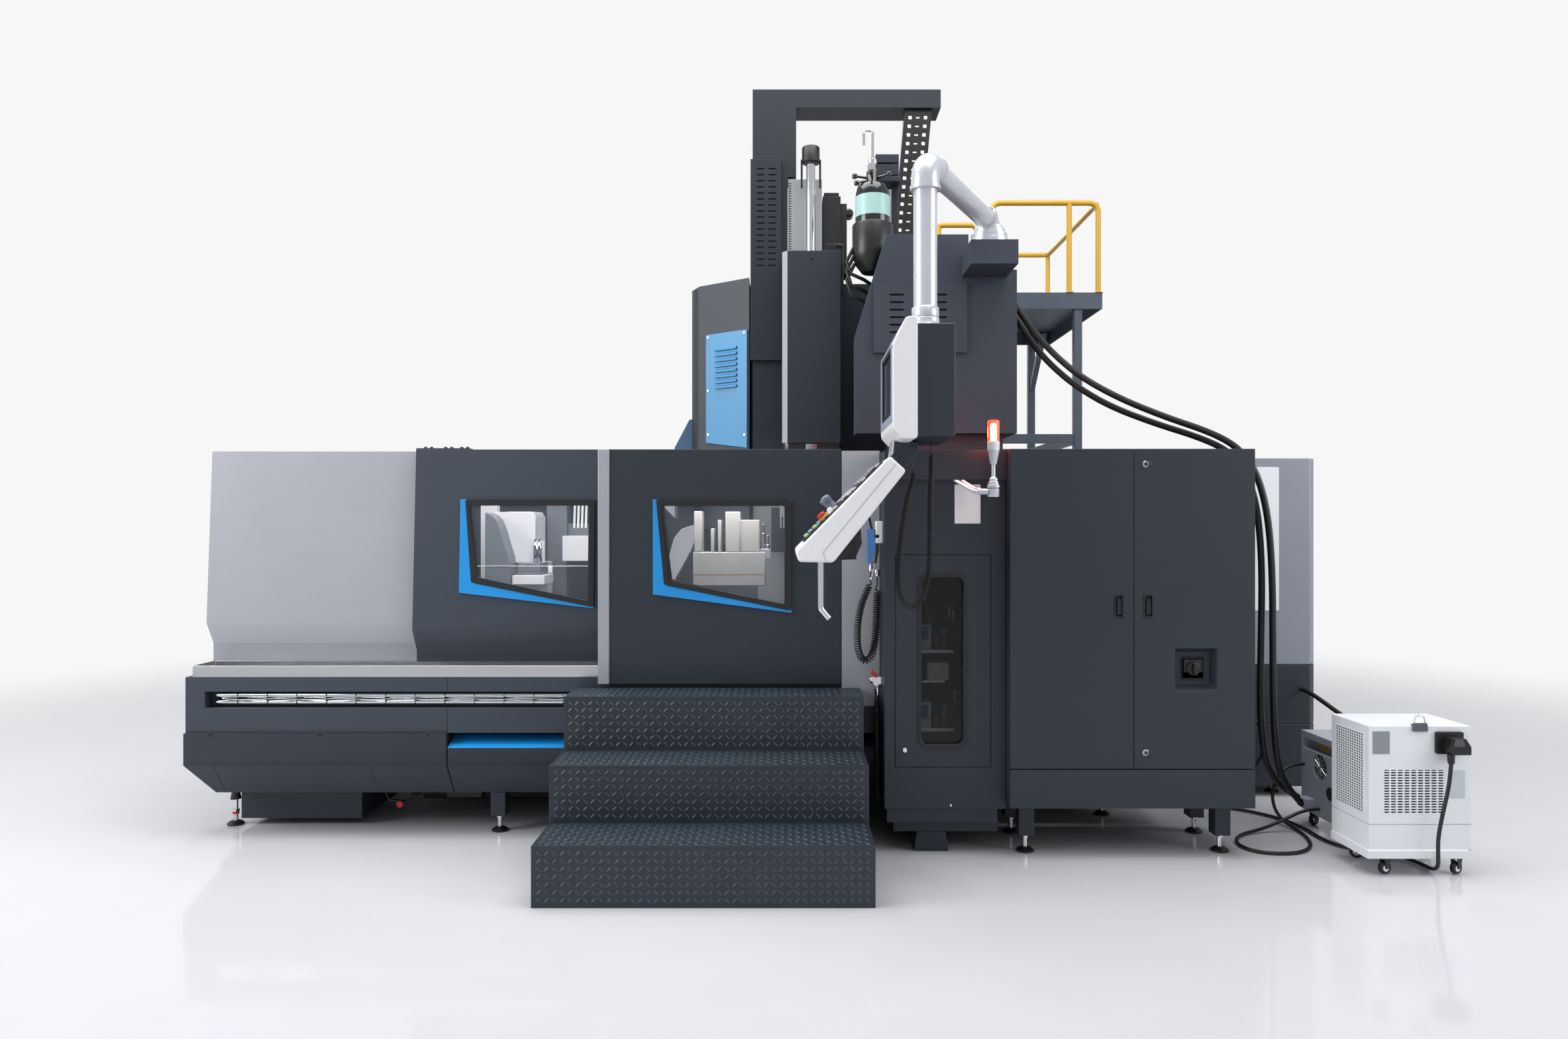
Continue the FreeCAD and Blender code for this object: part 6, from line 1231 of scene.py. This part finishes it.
shroud = Shape()
shroud.prism([(-1.815, 1.595), (-1.775, 1.575), (-1.747, 1.547), (-1.722, 1.485), (-1.701, 1.407),
    (-1.675, 1.326), (-1.658, 1.142), (-1.815, 1.142)], "y", -0.34, -0.19)
shroud.block((-1.55, 0.08, 0.25, -1.422, 0.2, 1.7), (-1.422, 0.1, 1.45, -1.1, 0.2, 1.53),
    (-1.632, -0.3, 1.218, -1.496, -0.1, 1.291))
shroud.done("changer_shroud", surface("inside_grey", "#6c727b", 0.4, grain=300), bevel=0.004)
changer = Shape()
changer.prism(round_corners([(-1.8, 1.598), (-1.58, 1.598), (-1.553, 1.56), (-1.553, 1.29),
    (-1.69, 1.29), (-1.76, 1.5)], 0.012), "y", -0.195, -0.155)
changer.block((-1.656, -0.33, 1.165, -1.465, -0.1, 1.2185),
    (-1.41, -0.1, 1.297, -1.225, 0.12, 1.452), (-1.93, -0.05, 0.25, -1.83, 0.02, 1.66))
for k in range(5):
    x = -1.386 + 0.0246 * k
    changer.prism([(x, 1.5), (x + 0.0144, 1.5), (x + 0.0205, 1.685), (x + 0.0062, 1.685)], "y",
        0.095, 0.101)
changer.block((-1.4395, -0.346, 1.234, -1.4136, -0.338, 1.2745),
    (-2.0125, -0.3445, 1.2728, -0.99, -0.3385, 1.2769))
changer.done("changer_white", WHITE, bevel=0.005)
fitting = Shape()
for x in (-1.545, -1.52):
    fitting.turn("z", x, -0.22, [(0.01, 1.292), (0.014, 1.3), (0.014, 1.4), (0.009, 1.41),
        (0.009, 1.435)])
fitting.done("changer_fitting", CHROME)
hood = Shape()
arc = [(-0.739, 1.18), (-0.739, 1.27), (-0.73, 1.35), (-0.704, 1.44), (-0.66, 1.495), (-0.6, 1.516),
    (-0.545, 1.518)]
hood.prism([*arc, (-0.6, 1.366), (-0.702, 1.18)], "y", -0.235, -0.03)
hood.prism([(-0.76, 1.62), (-0.7, 1.56), (-0.7, 1.7), (-0.76, 1.7)], "y", -0.23, -0.05)
hood.block((-0.705, -0.1, 1.66, -0.56, -0.03, 1.7))
hood.done("splash_hood", surface("hood_grey", "#a9abb0", 0.4, grain=300), bevel=0.003)
stand = Shape()
stand.block((-0.0609, -1.229, 1.557, -0.0116, -1.224, 1.633),
    (-0.015, -1.2285, 1.605, 0.416, -1.2185, 1.63))
for k in range(3):
    stand.block((-0.059 + 0.0152 * k, -1.231, 1.5, -0.0514 + 0.0152 * k, -1.2285, 1.633))
stand.done("light_strips", WHITE)
for name, place, width, power in (("inside_light_left", (-1.45, -0.95, 1.8), 0.7, 5.5),
        ("inside_light_right", (-0.35, -1.15, 1.8), 0.6, 5.0)):
    area_light(name, place, (math.radians(20), 0, 0), (width, 0.15), power)
data = bpy.data.lights.new("lamp_glow", "POINT")
data.energy, data.color, data.shadow_soft_size = 2.7, (1, 0.09, 0.05), 0.03
linked("lamp_glow", data).location = (LX - 0.02, LY + 0.045, 1.935)

# ---- floor, light and camera


def studio_floor():
    """A glossy pale floor that fades into the white background round its edge."""
    reach, middle, fade_start, fade_end = 11, 1.0, 4.2, 9.0
    data = bpy.data.meshes.new("studio_floor")
    rim = [(reach * c, reach * s + middle, 0) for c, s in circle(96)]
    data.from_pydata(rim, [], [tuple(range(len(rim)))])
    item = linked("studio_floor", data)
    material = surface("floor_gloss", "#cbccd0", 0.09, grain=3, bump=0.0, vary=0.012,
        rough_vary=0.02)
    tree = material.node_tree
    away = node(tree, "VectorMath")
    away.operation = "LENGTH"
    tree.links.new(node(tree, "TexCoord").outputs["Object"], away.inputs[0])
    fade = node(tree, "MapRange", From_Min=fade_start, From_Max=fade_end, To_Min=1, To_Max=0)
    fade.interpolation_type = "SMOOTHSTEP"
    tree.links.new(away.outputs["Value"], fade.inputs["Value"])
    tree.links.new(fade.outputs["Result"], tree.nodes["Principled BSDF"].inputs["Alpha"])
    data.materials.append(material)


def studio_world():
    """White behind the object and in reflections, and a softer grey as the light."""
    world = bpy.data.worlds.new("studio")
    bpy.context.scene.world = world
    world.use_nodes = True
    tree = world.node_tree
    tree.nodes.clear()
    rays = node(tree, "LightPath")
    result, shine, white = [node(tree, "Background", Color=colour, Strength=strength).outputs[0]
        for colour, strength in (((0.94, 0.96, 1, 1), 0.38), ((0.95, 0.97, 1, 1), 0.6),
        ((0.93, 0.93, 0.935, 1), 1.0))]
    for ray, picked in (("Glossy", shine), ("Transmission", white), ("Camera", white)):
        mix = node(tree, "MixShader")
        for entry, start in enumerate((rays.outputs[f"Is {ray} Ray"], result, picked)):
            tree.links.new(start, mix.inputs[entry])
        result = mix.outputs[0]
    tree.links.new(result, node(tree, "OutputWorld").inputs["Surface"])


studio_floor()
studio_world()
for name, place, aim, size, power in (("top_light", (-0.5, -1.6, 7.6), (0, 0, 1.0), (9, 5), 640),
        ("left_light", (-7.5, -3.8, 4.2), (0, -0.5, 1.4), (4, 4), 420),
        ("right_light", (7.5, -4.0, 4.0), (0, -0.5, 1.2), (4, 4), 270),
        ("back_light", (0.0, 7.0, 5.5), (0, 0, 1.5), (8, 3), 200)):
    turn = (Vector(aim) - Vector(place)).to_track_quat("-Z", "Y").to_euler()
    area_light(name, place, turn, size, power)

camera_data = bpy.data.cameras.new("camera")
camera_data.lens, camera_data.sensor_width, camera_data.shift_y = 22.51, 36, 0.0055
camera = linked("camera", camera_data)
camera.location = (-0.04, -6.16, 1.5)
camera.rotation_euler = (math.radians(90), 0, 0)
bpy.context.scene.camera = camera
bpy.context.scene.view_settings.view_transform = "Standard"
